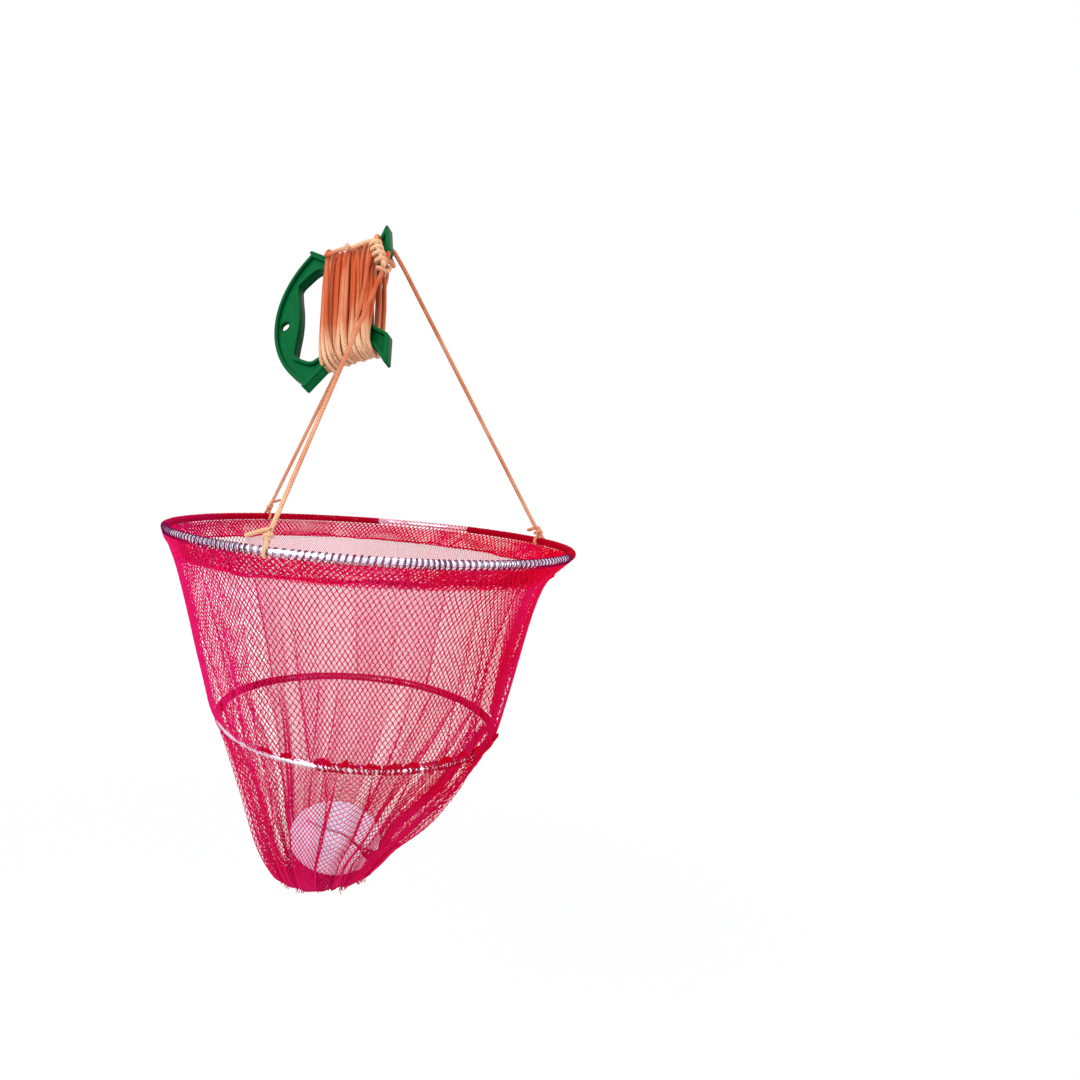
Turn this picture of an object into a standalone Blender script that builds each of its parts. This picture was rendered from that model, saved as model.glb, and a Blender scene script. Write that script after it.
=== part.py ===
"""Crab hoop net: a hand line on a winder, a three-leg bridle, two wire hoops and a netting bag with a base disc.

Metres, +Z up. The origin is the middle of the winder's hand grip, where the net is held.
"""
import math

import bmesh
import bpy
from mathutils import Matrix, Vector

MM = 0.001

# Net: hoops, netting and seams, in millimetres
UPPER_HOOP_R = 150.0
LOWER_HOOP_R = 106.0
WIRE_R = 2.0
HOOP_DROP = 142.0
NET_SKIN = 1.2
HEM_SKIN = 0.9
HEM_DEPTH = 17.5
FIT_GAP = 0.35
SEAM_WIDTH = 11.0
SEAM_THICKNESS = 1.4
SEAM_AZIMUTH = 5.0
RING_STEPS = 48
FOLDS = 12

# Upper netting wall: depth below the upper hoop and mid-skin radius
UPPER_WALL = ((4.2, 148.3), (9.0, 144.8), (16.0, 140.6), (27.0, 136.0), (50.0, 129.3), (80.0, 122.3),
              (110.0, 116.0), (139.0, 111.2))
# Lower netting wall: depth, mid-skin radius, sideways lean and fold height
LOWER_WALL = ((146.6, 104.6, 0.0, 0.0), (156.0, 100.0, 0.0, 0.6), (172.0, 93.0, -1.0, 1.2), (195.0, 84.0, -3.0, 1.8),
              (218.0, 73.5, -5.5, 2.0), (240.0, 61.5, -8.5, 2.0), (256.0, 52.0, -11.0, 1.6), (267.5, 44.0, -13.5, 1.2))

# Openings of the walls: one in every second panel round the bag, in rows between these depths
UPPER_OPENINGS = (20.5, 134.5)
UPPER_ROWS = 5
LOWER_OPENINGS = (152.0, 262.0)
LOWER_ROWS = 4
OPENING_BAR = 5.5

# Base disc: a thin slit dish lying tilted in the bottom of the bag
DISC_R = 38.0
DISC_THICKNESS = 2.0
DISC_DISH = 7.0
# Slit of the disc from inside its left part to the opening at its front right edge, as (across, back)
DISC_SLIT = ((-24.0, 17.0), (-11.0, 13.1), (6.4, 9.7), (21.2, -3.4), (40.0, -14.5), (30.5, -30.0), (19.0, -6.2),
             (5.6, 7.3), (-11.6, 10.9), (-24.6, 15.2))
DISC_TILT = 27.0
DISC_DROP = 250.0
BASE_LEAN = -9.5

# Bunched end of the bag and the tie cord round its neck
GATHER_TOP_R = 41.0
GATHER_DROP = 268.5
NECK_R = 4.6
TIE_R = 1.2
TIE_TURNS = 1.6
TIE_PITCH = 2.75

# Winder: half outline with u across from the grip and v up, in millimetres
WINDER_THICKNESS = 12.4
GRIP_ARC_APEX = -8.0
GRIP_ARC_END = (19.0, 57.5)
ARM_OUTLINE = ((20.4, 58.2), (19.6, 61.6), (23.6, 62.4), (38.0, 47.0), (45.0, 41.0), (50.0, 39.5), (64.0, 39.5),
               (72.0, 40.6), (76.0, 43.4), (80.0, 50.4), (86.0, 61.6), (88.0, 36.0), (79.0, 29.0), (68.5, 18.0),
               (63.5, 8.0))
GRIP_OPENING = ((37.5, 36.8), (33.5, 39.6), (27.6, 42.4), (24.0, 41.2), (13.4, 32.5), (14.8, 22.0),
                (16.6, 11.0))
OPENING_BULGE = 17.2
RIM = 3.0
POCKET_DEPTH = 3.9
LANYARD_HOLE_R = 3.3
WAIST_SOLID = (37.0, 67.0)

# How the winder hangs: its turn about Z, then about X, then about Y
WINDER_ANGLES = (-31.5, -24.0, -16.5)
# Where the bridle hangs from the winder's upper prong
HUB_UV = (84.5, 33.0)
HUB_HEIGHT = 203.0

# Line: cord radius and the outer layer of turns round the winder's waist
CORD_R = 1.5
WIND_TURNS = 11
WIND_PITCH = 3.45
WIND_START = 37.4
WIND_HALF_THICKNESS = 12.4
WIND_HALF_HEIGHT = 45.2
WIND_MIDDLE = 57.0
POINTS_PER_LOOP = 24
SUPERELLIPSE = 3.8

# Hitch: the line whipped down over the bridle loop, as axis points (u, v, n)
HITCH_AXIS = ((81.0, 42.5, -15.0), (82.2, 38.0, -15.4), (83.6, 32.0, -15.4), (84.9, 26.0, -14.6), (86.0, 20.0, -13.5))
HITCH_TURNS = 5
HITCH_COIL_R = 2.0

# Bridle loop: a ring of cord round the upper prong
LOOP_CENTRE = (83.4, 44.6)
LOOP_HALF_WIDTH = 9.8
LOOP_HALF_THICKNESS = 9.7

# Bridle legs: azimuth on the hoop, and start beside the loop as (u, v, n) on the winder
LEGS = {
    "front": (248.0, (90.6, 28.6, -6.5)),
    "back": (128.0, (86.5, 32.0, 11.8)),
    "right": (16.0, (93.4, 31.5, 1.0)),
}
KNOT_RISE = 8.2
KNOT_INSET = 2.5
KNOT_R = 3.9


def winder_matrix():
    """Turns winder coordinates (u, n, v) into the part's frame."""
    z, x, y = (math.radians(a) for a in WINDER_ANGLES)
    turn = Matrix.Rotation(z, 4, "Z") @ Matrix.Rotation(x, 4, "X") @ Matrix.Rotation(y, 4, "Y")
    return turn


WINDER = winder_matrix()
HUB = WINDER @ Vector((HUB_UV[0] * MM, 0.0, HUB_UV[1] * MM))
HOOP_CENTRE = HUB - Vector((0.0, 0.0, HUB_HEIGHT * MM))


def on_net(x, y, drop):
    """A point from millimetres off the hoops' axis and below the upper hoop."""
    return HOOP_CENTRE + Vector((x * MM, y * MM, -drop * MM))


def on_winder(u, v, n):
    """A point from winder coordinates in millimetres."""
    return WINDER @ Vector((u * MM, n * MM, v * MM))


def material(name, colour, roughness, metallic=0.0):
    """A plain Principled material of one colour."""
    made = bpy.data.materials.new(name)
    made.use_nodes = True
    shader = made.node_tree.nodes["Principled BSDF"]
    shader.inputs["Base Color"].default_value = (*colour, 1.0)
    shader.inputs["Roughness"].default_value = roughness
    shader.inputs["Metallic"].default_value = metallic
    made.diffuse_color = (*colour, 1.0)
    return made


def finish_mesh(name, bm, skin, smooth=True):
    """Turns a bmesh into a named object with outward faces."""
    bmesh.ops.recalc_face_normals(bm, faces=bm.faces)
    if bm.calc_volume(signed=True) < 0.0:
        bmesh.ops.reverse_faces(bm, faces=bm.faces)
    mesh = bpy.data.meshes.new(name)
    bm.to_mesh(mesh)
    bm.free()
    if smooth:
        mesh.shade_smooth()
    obj = bpy.data.objects.new(name, mesh)
    bpy.context.scene.collection.objects.link(obj)
    if skin is not None:
        mesh.materials.append(skin)
    return obj


def revolve(name, profile, drop, skin, centre=(0.0, 0.0)):
    """Spins a closed profile of (radius, height) once round an upright axis on the net."""
    bm = bmesh.new()
    middle = on_net(centre[0], centre[1], drop)
    ring = [bm.verts.new(middle + Vector((r * MM, 0.0, z * MM))) for r, z in profile]
    edges = [bm.edges.new((ring[i], ring[(i + 1) % len(ring)])) for i in range(len(ring))]
    bmesh.ops.spin(bm, geom=ring + edges, cent=middle, axis=(0, 0, 1), angle=math.tau, steps=RING_STEPS,
                   use_merge=True)
    bmesh.ops.remove_doubles(bm, verts=bm.verts, dist=1e-6)
    return finish_mesh(name, bm, skin)


def circle_profile(radius, around, steps=8):
    """A circle of (radius, height) points round a centre at the given hoop radius."""
    return [(around + radius * math.cos(math.tau * i / steps), radius * math.sin(math.tau * i / steps))
            for i in range(steps)]


def loft(name, rings, skin, closed_tube=False):
    """Joins rings of equal point count; caps both ends, or joins the last ring to the first."""
    bm = bmesh.new()
    rows = [[bm.verts.new(p) for p in ring] for ring in rings]
    count = len(rows[0])
    last = len(rows) if closed_tube else len(rows) - 1
    for i in range(last):
        low = rows[i]
        high = rows[(i + 1) % len(rows)]
        for j in range(count):
            k = (j + 1) % count
            bm.faces.new((low[j], low[k], high[k], high[j]))
    if not closed_tube:
        bm.faces.new(rows[0])
        bm.faces.new(rows[-1])
    return finish_mesh(name, bm, skin)


def net_ring(drop, radius, lean=0.0, fold=0.0):
    """One level ring of the bag, with soft folds that run down the cloth."""
    points = []
    for i in range(RING_STEPS):
        angle = math.tau * i / RING_STEPS
        r = radius + fold * math.cos(FOLDS * angle)
        points.append(on_net(lean + r * math.cos(angle), r * math.sin(angle), drop))
    return points


def at_drop(stations, drop):
    """The station of a wall at a depth, between the two that it is given at."""
    for low, high in zip(stations, stations[1:]):
        if drop <= high[0]:
            share = (drop - low[0]) / (high[0] - low[0])
            return tuple(a + (b - a) * share for a, b in zip(low, high))
    return tuple(stations[-1])


def opened_stations(profile, between, rows):
    """The wall's stations with its rows of openings, and the numbers of the bands that are open."""
    start, end = between
    height = (end - start - OPENING_BAR * (rows - 1)) / rows
    stations = [tuple(s) for s in profile if s[0] < start]
    opened = []
    for row in range(rows):
        top = start + row * (height + OPENING_BAR)
        opened.append(len(stations))
        stations += [at_drop(profile, top), at_drop(profile, top + height)]
    return stations + [tuple(s) for s in profile if s[0] > end], opened


def netting_wall(name, stations, opened, skin):
    """A netting wall as a thin shell, open above and below, with a plain grid of openings."""
    half = NET_SKIN / 2
    bm = bmesh.new()
    outer = [[bm.verts.new(p) for p in net_ring(d, r + half, lean, fold)] for d, r, lean, fold in stations]
    inner = [[bm.verts.new(p) for p in net_ring(d, r - half, lean, fold)] for d, r, lean, fold in stations]
    for j in range(RING_STEPS):
        k = (j + 1) % RING_STEPS
        for i in (0, len(stations) - 1):
            bm.faces.new((outer[i][j], outer[i][k], inner[i][k], inner[i][j]))
        for i in range(len(stations) - 1):
            if i in opened and j % 2:
                for row in (i, i + 1):
                    bm.faces.new((outer[row][j], outer[row][k], inner[row][k], inner[row][j]))
                for side in (j, k):
                    bm.faces.new((outer[i][side], outer[i + 1][side], inner[i + 1][side], inner[i][side]))
            else:
                for skin_rows in (outer, inner):
                    bm.faces.new((skin_rows[i][j], skin_rows[i][k], skin_rows[i + 1][k], skin_rows[i + 1][j]))
    return finish_mesh(name, bm, skin)


def wall_radius(drop):
    """Mid-skin radius of the upper wall at a depth."""
    points = [(-0.5, 150.0)] + list(UPPER_WALL)
    for (d0, r0), (d1, r1) in zip(points, points[1:]):
        if drop <= d1:
            return r0 + (r1 - r0) * (drop - d0) / (d1 - d0)
    return points[-1][1]


def mouth_hem(skin):
    """The netting folded over the upper hoop: an upside-down U round wire and wall."""
    inside = WIRE_R + FIT_GAP
    outside = inside + HEM_SKIN
    half = NET_SKIN / 2 + FIT_GAP
    depths = (HEM_DEPTH, 12.5, 7.5)
    profile = []
    profile += [(wall_radius(d) + half + HEM_SKIN, -d) for d in depths]
    for step in range(6):
        angle = math.radians(-32 + 244 * step / 5)
        profile.append((UPPER_HOOP_R + outside * math.cos(angle), outside * math.sin(angle)))
    profile += [(wall_radius(d) - half - HEM_SKIN, -d) for d in depths[::-1]]
    profile += [(wall_radius(d) - half, -d) for d in depths]
    for step in range(6):
        angle = math.radians(212 - 244 * step / 5)
        profile.append((UPPER_HOOP_R + inside * math.cos(angle), inside * math.sin(angle)))
    profile += [(wall_radius(d) + half, -d) for d in depths[::-1]]
    return revolve("mouth_hem", profile, 0.0, skin)


def ring_casing(name, hoop_r, drop, skin):
    """A sleeve of gathered netting round a wire hoop, open underneath where the wall leaves it."""
    inside = WIRE_R + FIT_GAP
    outside = inside + HEM_SKIN
    profile = []
    for radius, turn, step in ((outside, -55.0, 58.0), (inside, 235.0, -58.0)):
        for i in range(6):
            angle = math.radians(turn + step * i)
            profile.append((hoop_r + radius * math.cos(angle), radius * math.sin(angle)))
    return revolve(name, profile, drop, skin)


def seam_strip(name, stations, skin):
    """A doubled seam band lying on the outer face of a wall."""
    rings = []
    lift = NET_SKIN / 2 + FIT_GAP
    for drop, radius, lean, fold in stations:
        near = radius + fold + lift
        far = near + SEAM_THICKNESS
        spread = math.degrees(SEAM_WIDTH / 2 / radius)
        ring = []
        for r, side in ((near, -1), (near, 0), (near, 1), (far, 1), (far, 0), (far, -1)):
            angle = math.radians(SEAM_AZIMUTH + side * spread)
            ring.append(on_net(lean + r * math.cos(angle), r * math.sin(angle), drop))
        rings.append(ring)
    return loft(name, rings, skin)


def tube(name, points, radius, skin, sides=2, cyclic=False):
    """A round cord along a route, with filled flat ends."""
    curve = bpy.data.curves.new(name, "CURVE")
    curve.dimensions = "3D"
    curve.bevel_depth = radius * MM
    curve.bevel_resolution = sides
    curve.use_fill_caps = not cyclic
    spline = curve.splines.new("POLY")
    spline.points.add(len(points) - 1)
    for slot, point in zip(spline.points, points):
        slot.co = (*point, 1.0)
    spline.use_cyclic_u = cyclic
    spline.use_smooth = True
    curve.materials.append(skin)
    obj = bpy.data.objects.new(name, curve)
    bpy.context.scene.collection.objects.link(obj)
    return obj


def prism(name, outline, n0, n1, skin=None):
    """A flat outline of (u, v) points made into a plate between two thicknesses."""
    bm = bmesh.new()
    face = bm.faces.new([bm.verts.new((u * MM, n0 * MM, v * MM)) for u, v in outline])
    grown = bmesh.ops.extrude_face_region(bm, geom=[face])
    moved = [item for item in grown["geom"] if isinstance(item, bmesh.types.BMVert)]
    bmesh.ops.translate(bm, vec=(0.0, (n1 - n0) * MM, 0.0), verts=moved)
    return finish_mesh(name, bm, skin, smooth=False)


def offset_outline(points, distance):
    """Moves each side of a closed outline sideways; positive goes to the left of its direction."""
    moved = []
    count = len(points)
    for i in range(count):
        before = Vector(points[i - 1])
        here = Vector(points[i])
        after = Vector(points[(i + 1) % count])
        a = (here - before).normalized()
        b = (after - here).normalized()
        left_a = Vector((-a.y, a.x))
        left_b = Vector((-b.y, b.x))
        miter = (left_a + left_b).normalized()
        reach = distance / max(0.45, miter.dot(left_a))
        moved.append(tuple(here + miter * reach))
    return moved


def mirrored(half):
    """Completes a half outline given from its lower middle up; the other half is its mirror image."""
    below = [(u, -v) for u, v in half if abs(v) > 1e-6]
    return list(half) + below[::-1]


def grip_arc(steps=10):
    """The outer arc of the grip, from its middle up to the arm."""
    end_u, end_v = GRIP_ARC_END
    rise = end_u - GRIP_ARC_APEX
    radius = (end_v ** 2 + rise ** 2) / (2 * rise)
    reach = math.asin(end_v / radius)
    arc = []
    for i in range(steps + 1):
        angle = reach * i / steps
        arc.append((GRIP_ARC_APEX + radius * (1 - math.cos(angle)), radius * math.sin(angle)))
    return arc


def as_cutter(obj):
    """Hides a solid that only cuts another."""
    obj.hide_render = True
    obj.display_type = "WIRE"
    obj.matrix_world = WINDER
    return obj


def boolean(target, cutter, operation="DIFFERENCE"):
    """Adds one exact Boolean to a solid."""
    step = target.modifiers.new(cutter.name, "BOOLEAN")
    step.operation = operation
    step.solver = "EXACT"
    step.object = cutter


def winder_frame(skin):
    """The moulded winder: a D grip and two flared arms, with rims round sunk webs on both faces."""
    half = WINDER_THICKNESS / 2
    outline = mirrored(grip_arc() + list(ARM_OUTLINE) + [(62.5, 0.0)])
    opening = mirrored(list(GRIP_OPENING) + [(OPENING_BULGE, 0.0)])
    frame = prism("winder_frame", outline, -half, half, skin)
    frame.matrix_world = WINDER
    hole = as_cutter(prism("grip_opening_cutter", opening, -half - 2, half + 2))
    boolean(frame, hole)
    sunk = offset_outline(outline, RIM)
    kept = offset_outline(opening, -RIM)
    waist = [(WAIST_SOLID[0], -70.0), (WAIST_SOLID[1], -70.0), (WAIST_SOLID[1], 70.0), (WAIST_SOLID[0], 70.0)]
    for face, n0, n1 in (("front", -half - 3.0, -half + POCKET_DEPTH), ("back", half - POCKET_DEPTH, half + 3.0)):
        pocket = as_cutter(prism(face + "_pocket_cutter", sunk, n0, n1))
        boolean(pocket, as_cutter(prism(face + "_rim_keeper", kept, n0 - 1.0, n1 + 1.0)))
        boolean(pocket, as_cutter(prism(face + "_waist_keeper", waist, n0 - 1.0, n1 + 1.0)))
        boolean(frame, pocket)
    circle = [(LANYARD_HOLE_R * math.cos(math.tau * i / 24), LANYARD_HOLE_R * math.sin(math.tau * i / 24))
              for i in range(24)]
    boolean(frame, as_cutter(prism("lanyard_hole_cutter", circle, -half - 2, half + 2)))
    edge = frame.modifiers.new("edge_round", "BEVEL")
    edge.width = 0.5 * MM
    edge.segments = 1
    edge.limit_method = "ANGLE"
    edge.angle_limit = math.radians(50)
    edge.use_clamp_overlap = True
    return frame


def wind_half_height(u):
    """Half height of the outer turns: the waist is filled nearly straight and rises to the flares."""
    beyond = max(0.0, abs(u - WIND_MIDDLE) - 7.0) / 12.0
    rise = 6.2 if u < WIND_MIDDLE else 3.0
    return WIND_HALF_HEIGHT + rise * beyond ** 2


def racetrack(angle, half_height, half_thickness):
    """A rounded upright loop as (v, n)."""
    c = math.cos(angle)
    s = math.sin(angle)
    power = 2.0 / SUPERELLIPSE
    n = half_thickness * math.copysign(abs(c) ** power, c)
    v = half_height * math.copysign(abs(s) ** power, s)
    return v, n


def winding_route():
    """The outer layer of line as one unbroken route across the waist."""
    points = []
    total = WIND_TURNS * POINTS_PER_LOOP
    for i in range(total + 1):
        turns = i / POINTS_PER_LOOP
        u = WIND_START + WIND_PITCH * turns
        v, n = racetrack(math.tau * turns - math.pi / 2, wind_half_height(u), WIND_HALF_THICKNESS)
        points.append(Vector((u, v, n)))
    return points


def least_gap(points, radius, per_loop):
    """Least clear distance of a coiled tube to itself, in millimetres."""
    worst = 1e9
    for i, p in enumerate(points):
        for q in points[i + per_loop // 2:]:
            worst = min(worst, (p - q).length - 2 * radius)
    return worst


def line_core(skin):
    """The inner layers of line: a plain sleeve round the winder's waist, under the outer turns."""
    stations = [WIND_START - 1.2 + (WIND_TURNS * WIND_PITCH + 2.4) * i / 8 for i in range(9)]
    arm = [p for p in ARM_OUTLINE if p[0] > 23.0][:8]
    steps = POINTS_PER_LOOP
    outer = []
    inner = []
    for u in stations:
        edge = 39.5
        for (u0, v0), (u1, v1) in zip(arm, arm[1:]):
            if u0 <= u <= u1:
                edge = v0 + (v1 - v0) * (u - u0) / (u1 - u0)
        skin_v = wind_half_height(u) - CORD_R - 0.7
        skin_n = WIND_HALF_THICKNESS - CORD_R - 0.8
        outer_ring = []
        inner_ring = []
        for i in range(steps):
            angle = math.tau * i / steps
            v, n = racetrack(angle, skin_v, skin_n)
            outer_ring.append(on_winder(u, v, n))
            side_v = max(-1.0, min(1.0, 1.6 * math.sin(angle)))
            side_n = max(-1.0, min(1.0, 1.6 * math.cos(angle)))
            inner_ring.append(on_winder(u, (edge + 0.6) * side_v, (WINDER_THICKNESS / 2 + 0.35) * side_n))
        outer.append(outer_ring)
        inner.append(inner_ring)
    return loft("line_core", outer + inner[::-1], skin, closed_tube=True)


def along_route(points, t):
    """The point a share t of the way along a list of (u, v, n) points, by count."""
    place = t * (len(points) - 1)
    i = min(int(place), len(points) - 2)
    return Vector(points[i]).lerp(Vector(points[i + 1]), place - i)


def hitch_route():
    """The hitch turns as one close coil down over the bridle loop."""
    points = []
    per_turn = 11
    total = HITCH_TURNS * per_turn
    for i in range(total + 1):
        turn = math.tau * i / per_turn
        spot = along_route(HITCH_AXIS, i / total)
        side = Vector((0.96, 0.28, 0.0)) * math.cos(turn) + Vector((0.0, 0.0, 1.0)) * math.sin(turn)
        spot += side * HITCH_COIL_R
        points.append(on_winder(*spot))
    return points


def lead_route():
    """The strand that runs over the top of the turns to the hitch."""
    ends = ((40.5, 53.2, -2.0), (47.0, 49.6, -4.5), (56.0, 49.0, -6.0), (66.0, 49.2, -7.0), (73.0, 50.4, -9.0))
    points = []
    for (u0, v0, n0), (u1, v1, n1) in zip(ends, ends[1:]):
        for step in range(3):
            t = step / 3
            points.append(on_winder(u0 + (u1 - u0) * t, v0 + (v1 - v0) * t, n0 + (n1 - n0) * t))
    points.append(on_winder(*ends[-1]))
    return points


def hoop_point(azimuth, inset, rise):
    """A point near the upper hoop."""
    angle = math.radians(azimuth)
    r = UPPER_HOOP_R - inset
    return on_net(r * math.cos(angle), r * math.sin(angle), -rise)


def leg_route(azimuth, start):
    """A taut bridle leg from the hub down to its knot."""
    top = on_winder(*start)
    knot = hoop_point(azimuth, KNOT_INSET, KNOT_RISE)
    direction = (knot - top).normalized()
    bottom = knot - direction * (KNOT_R + 0.3) * MM
    count = 14
    return [top + (bottom - top) * i / (count - 1) for i in range(count)]


def hoop_knot(name, azimuth, tail_turn, skin):
    """A knot over the hoop: a half loop over the hem, the tied ball and a short tail."""
    angle = math.radians(azimuth)
    across = Vector((math.cos(angle), math.sin(angle), 0.0))
    up = Vector((0.0, 0.0, 1.0))
    centre = hoop_point(azimuth, 0.0, 0.0)
    reach = (WIRE_R + FIT_GAP + HEM_SKIN + 0.4 + CORD_R) * MM
    loop = []
    for step in range(13):
        turn = math.radians(-14 + 214 * step / 12)
        loop.append(centre + (across * math.cos(turn) + up * math.sin(turn)) * reach)
    over = tube(name, loop, CORD_R, skin, sides=1)
    graph = bpy.context.evaluated_depsgraph_get()
    mesh = bpy.data.meshes.new_from_object(over.evaluated_get(graph))
    bpy.data.objects.remove(over)
    mesh.name = name
    made = bpy.data.objects.new(name, mesh)
    bpy.context.scene.collection.objects.link(made)
    ball = bmesh.new()
    bmesh.ops.create_icosphere(ball, subdivisions=2, radius=KNOT_R * MM)
    bmesh.ops.scale(ball, vec=(1.0, 1.0, 0.86), verts=ball.verts)
    bmesh.ops.translate(ball, vec=hoop_point(azimuth, KNOT_INSET, KNOT_RISE), verts=ball.verts)
    knot = as_cutter(finish_mesh(name + "_ball", ball, skin))
    knot.matrix_world = Matrix.Identity(4)
    boolean(made, knot, "UNION")
    along = Vector((-math.sin(angle), math.cos(angle), 0.0)) * tail_turn
    root = hoop_point(azimuth, KNOT_INSET, KNOT_RISE)
    tail = [root + along * (2.0 + 2.6 * i) * MM + across * (-0.35 * i) * MM + up * (0.25 * i) * MM for i in range(6)]
    spur = tube(name + "_tail_route", tail, CORD_R * 0.95, skin, sides=1)
    spur_mesh = bpy.data.meshes.new_from_object(spur.evaluated_get(bpy.context.evaluated_depsgraph_get()))
    bpy.data.objects.remove(spur)
    spur_solid = bpy.data.objects.new(name + "_tail", spur_mesh)
    bpy.context.scene.collection.objects.link(spur_solid)
    spur_solid.hide_render = True
    spur_solid.display_type = "WIRE"
    boolean(made, spur_solid, "UNION")
    return made


def bridle_loop(skin):
    """The loop that carries the three legs: a ring of cord hung round the upper prong."""
    across = Vector((-math.sqrt(0.5), math.sqrt(0.5)))
    points = []
    steps = 24
    for i in range(steps):
        v, n = racetrack(math.tau * i / steps, LOOP_HALF_WIDTH, LOOP_HALF_THICKNESS)
        spot = Vector(LOOP_CENTRE) + across * v
        points.append(on_winder(spot.x, spot.y, n))
    return tube("bridle_loop", points, CORD_R, skin, cyclic=True)


def base_disc(skin):
    """The slit dish in the bottom of the bag."""
    bm = bmesh.new()
    radii = (DISC_R, DISC_R * 0.62, DISC_R * 0.3, 3.0)
    steps = 32
    levels = []
    for lift in (DISC_THICKNESS / 2, -DISC_THICKNESS / 2):
        rows = []
        for r in radii:
            z = lift + DISC_DISH * (r / DISC_R) ** 2
            rows.append([bm.verts.new((r * MM * math.cos(math.tau * i / steps), r * MM * math.sin(math.tau * i / steps),
                                       z * MM)) for i in range(steps)])
        levels.append(rows)
    loop = levels[0] + levels[1][::-1]
    for i in range(len(loop)):
        low = loop[i]
        high = loop[(i + 1) % len(loop)]
        for j in range(steps):
            k = (j + 1) % steps
            bm.faces.new((low[j], low[k], high[k], high[j]))
    disc = finish_mesh("base_disc", bm, skin)
    lay = Matrix.Translation(on_net(BASE_LEAN, 0.0, DISC_DROP)) @ Matrix.Rotation(math.radians(DISC_TILT), 4, "X")
    disc.matrix_world = lay
    slit = prism("disc_slit_cutter", [(x, -y) for x, y in DISC_SLIT], -3.0, 14.0)
    slit.hide_render = True
    slit.display_type = "WIRE"
    slit.matrix_world = lay @ Matrix.Rotation(math.radians(90.0), 4, "X")
    boolean(disc, slit)
    return disc


def bag_gather(skin):
    """The bunched end of the bag, folded in under the disc to a tied neck."""
    rings = []
    profile = ((GATHER_TOP_R, 0.0, 0.8), (GATHER_TOP_R * 0.86, 4.0, 1.6), (GATHER_TOP_R * 0.58, 8.4, 2.0),
               (GATHER_TOP_R * 0.26, 10.8, 0.8), (NECK_R, 12.0, 0.0), (NECK_R, 18.8, 0.0), (6.6, 20.6, 0.0))
    for radius, fall, fold in profile:
        rings.append(net_ring(GATHER_DROP + fall, radius, BASE_LEAN - 4.0, fold))
    inner = ((GATHER_TOP_R - 1.6, 0.0, 0.8), (GATHER_TOP_R * 0.86 - 1.8, 2.6, 1.6), (GATHER_TOP_R * 0.52, 6.2, 1.4),
             (GATHER_TOP_R * 0.2, 8.2, 0.4))
    for radius, fall, fold in inner:
        rings.insert(0, net_ring(GATHER_DROP + fall, radius, BASE_LEAN - 4.0, fold))
    return loft("bag_gather", rings, skin)


def bottom_tie(skin):
    """Two turns of cord round the neck of the gathered bag."""
    points = []
    per_turn = 16
    r = NECK_R + TIE_R + FIT_GAP
    for i in range(round(TIE_TURNS * per_turn) + 1):
        angle = math.tau * i / per_turn
        points.append(on_net(BASE_LEAN - 4.0 + r * math.cos(angle), r * math.sin(angle),
                             GATHER_DROP + 13.4 + TIE_PITCH * i / per_turn))
    return tube("bottom_tie", points, TIE_R, skin, sides=1)


def holder(name, place, parent=None):
    """An empty on a joint's axis that carries one moving piece."""
    empty = bpy.data.objects.new(name, None)
    empty.empty_display_size = 0.02
    bpy.context.scene.collection.objects.link(empty)
    empty.location = place
    if parent is not None:
        empty.parent = parent
        empty.matrix_parent_inverse = Matrix.Translation(-parent.location)
    return empty


def carry(empty, objects):
    """Hangs finished solids on a joint's empty without moving them."""
    for obj in objects:
        obj.parent = empty
        obj.matrix_parent_inverse = Matrix.Translation(-empty.location)


def netting(name):
    """The dyed knotless netting."""
    return material(name, (0.52, 0.008, 0.05), 0.6)


def cord(name):
    """The tan braided line."""
    return material(name, (0.67, 0.17, 0.06), 0.55)


def hoop_steel(name):
    """Bright bare hoop wire."""
    return material(name, (0.45, 0.42, 0.6), 0.25, 1.0)


def winder_pieces():
    """The winder, the line on it and the loop that the bridle hangs from."""
    route = winding_route()
    print("line_winding least gap to itself, mm:", round(least_gap(route, CORD_R, POINTS_PER_LOOP), 2))
    winder_frame(material("winder_frame", (0.004, 0.12, 0.035), 0.3))
    line_core(cord("line_core"))
    tube("line_winding", [on_winder(*p) for p in route], CORD_R, cord("line_winding"), sides=1)
    tube("line_hitch", hitch_route(), CORD_R, cord("line_hitch"), sides=1)
    tube("line_lead", lead_route(), CORD_R, cord("line_lead"), sides=1)
    bridle_loop(cord("bridle_loop"))


def upper_pieces():
    """The mouth of the net with its bridle legs."""
    profile = [(d, r, 0.0, 0.0) for d, r in UPPER_WALL]
    stations, opened = opened_stations(profile, UPPER_OPENINGS, UPPER_ROWS)
    seam = [at_drop(stations, 19.2)] + [s for s in stations if 20.0 < s[0] < 137.0] + [at_drop(stations, 137.0)]
    made = [
        mouth_hem(netting("mouth_hem")),
        revolve("upper_hoop", circle_profile(WIRE_R, UPPER_HOOP_R), 0.0, hoop_steel("upper_hoop")),
        netting_wall("upper_net_wall", stations, opened, netting("upper_net_wall")),
        seam_strip("side_seam_upper", seam, netting("side_seam_upper")),
    ]
    for side, (azimuth, start) in LEGS.items():
        turn = 1 if side == "right" else -1
        made.append(tube("bridle_leg_" + side, leg_route(azimuth, start), CORD_R, cord("bridle_leg_" + side)))
        made.append(hoop_knot("hoop_knot_" + side, azimuth, turn, cord("hoop_knot_" + side)))
    return made


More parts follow.
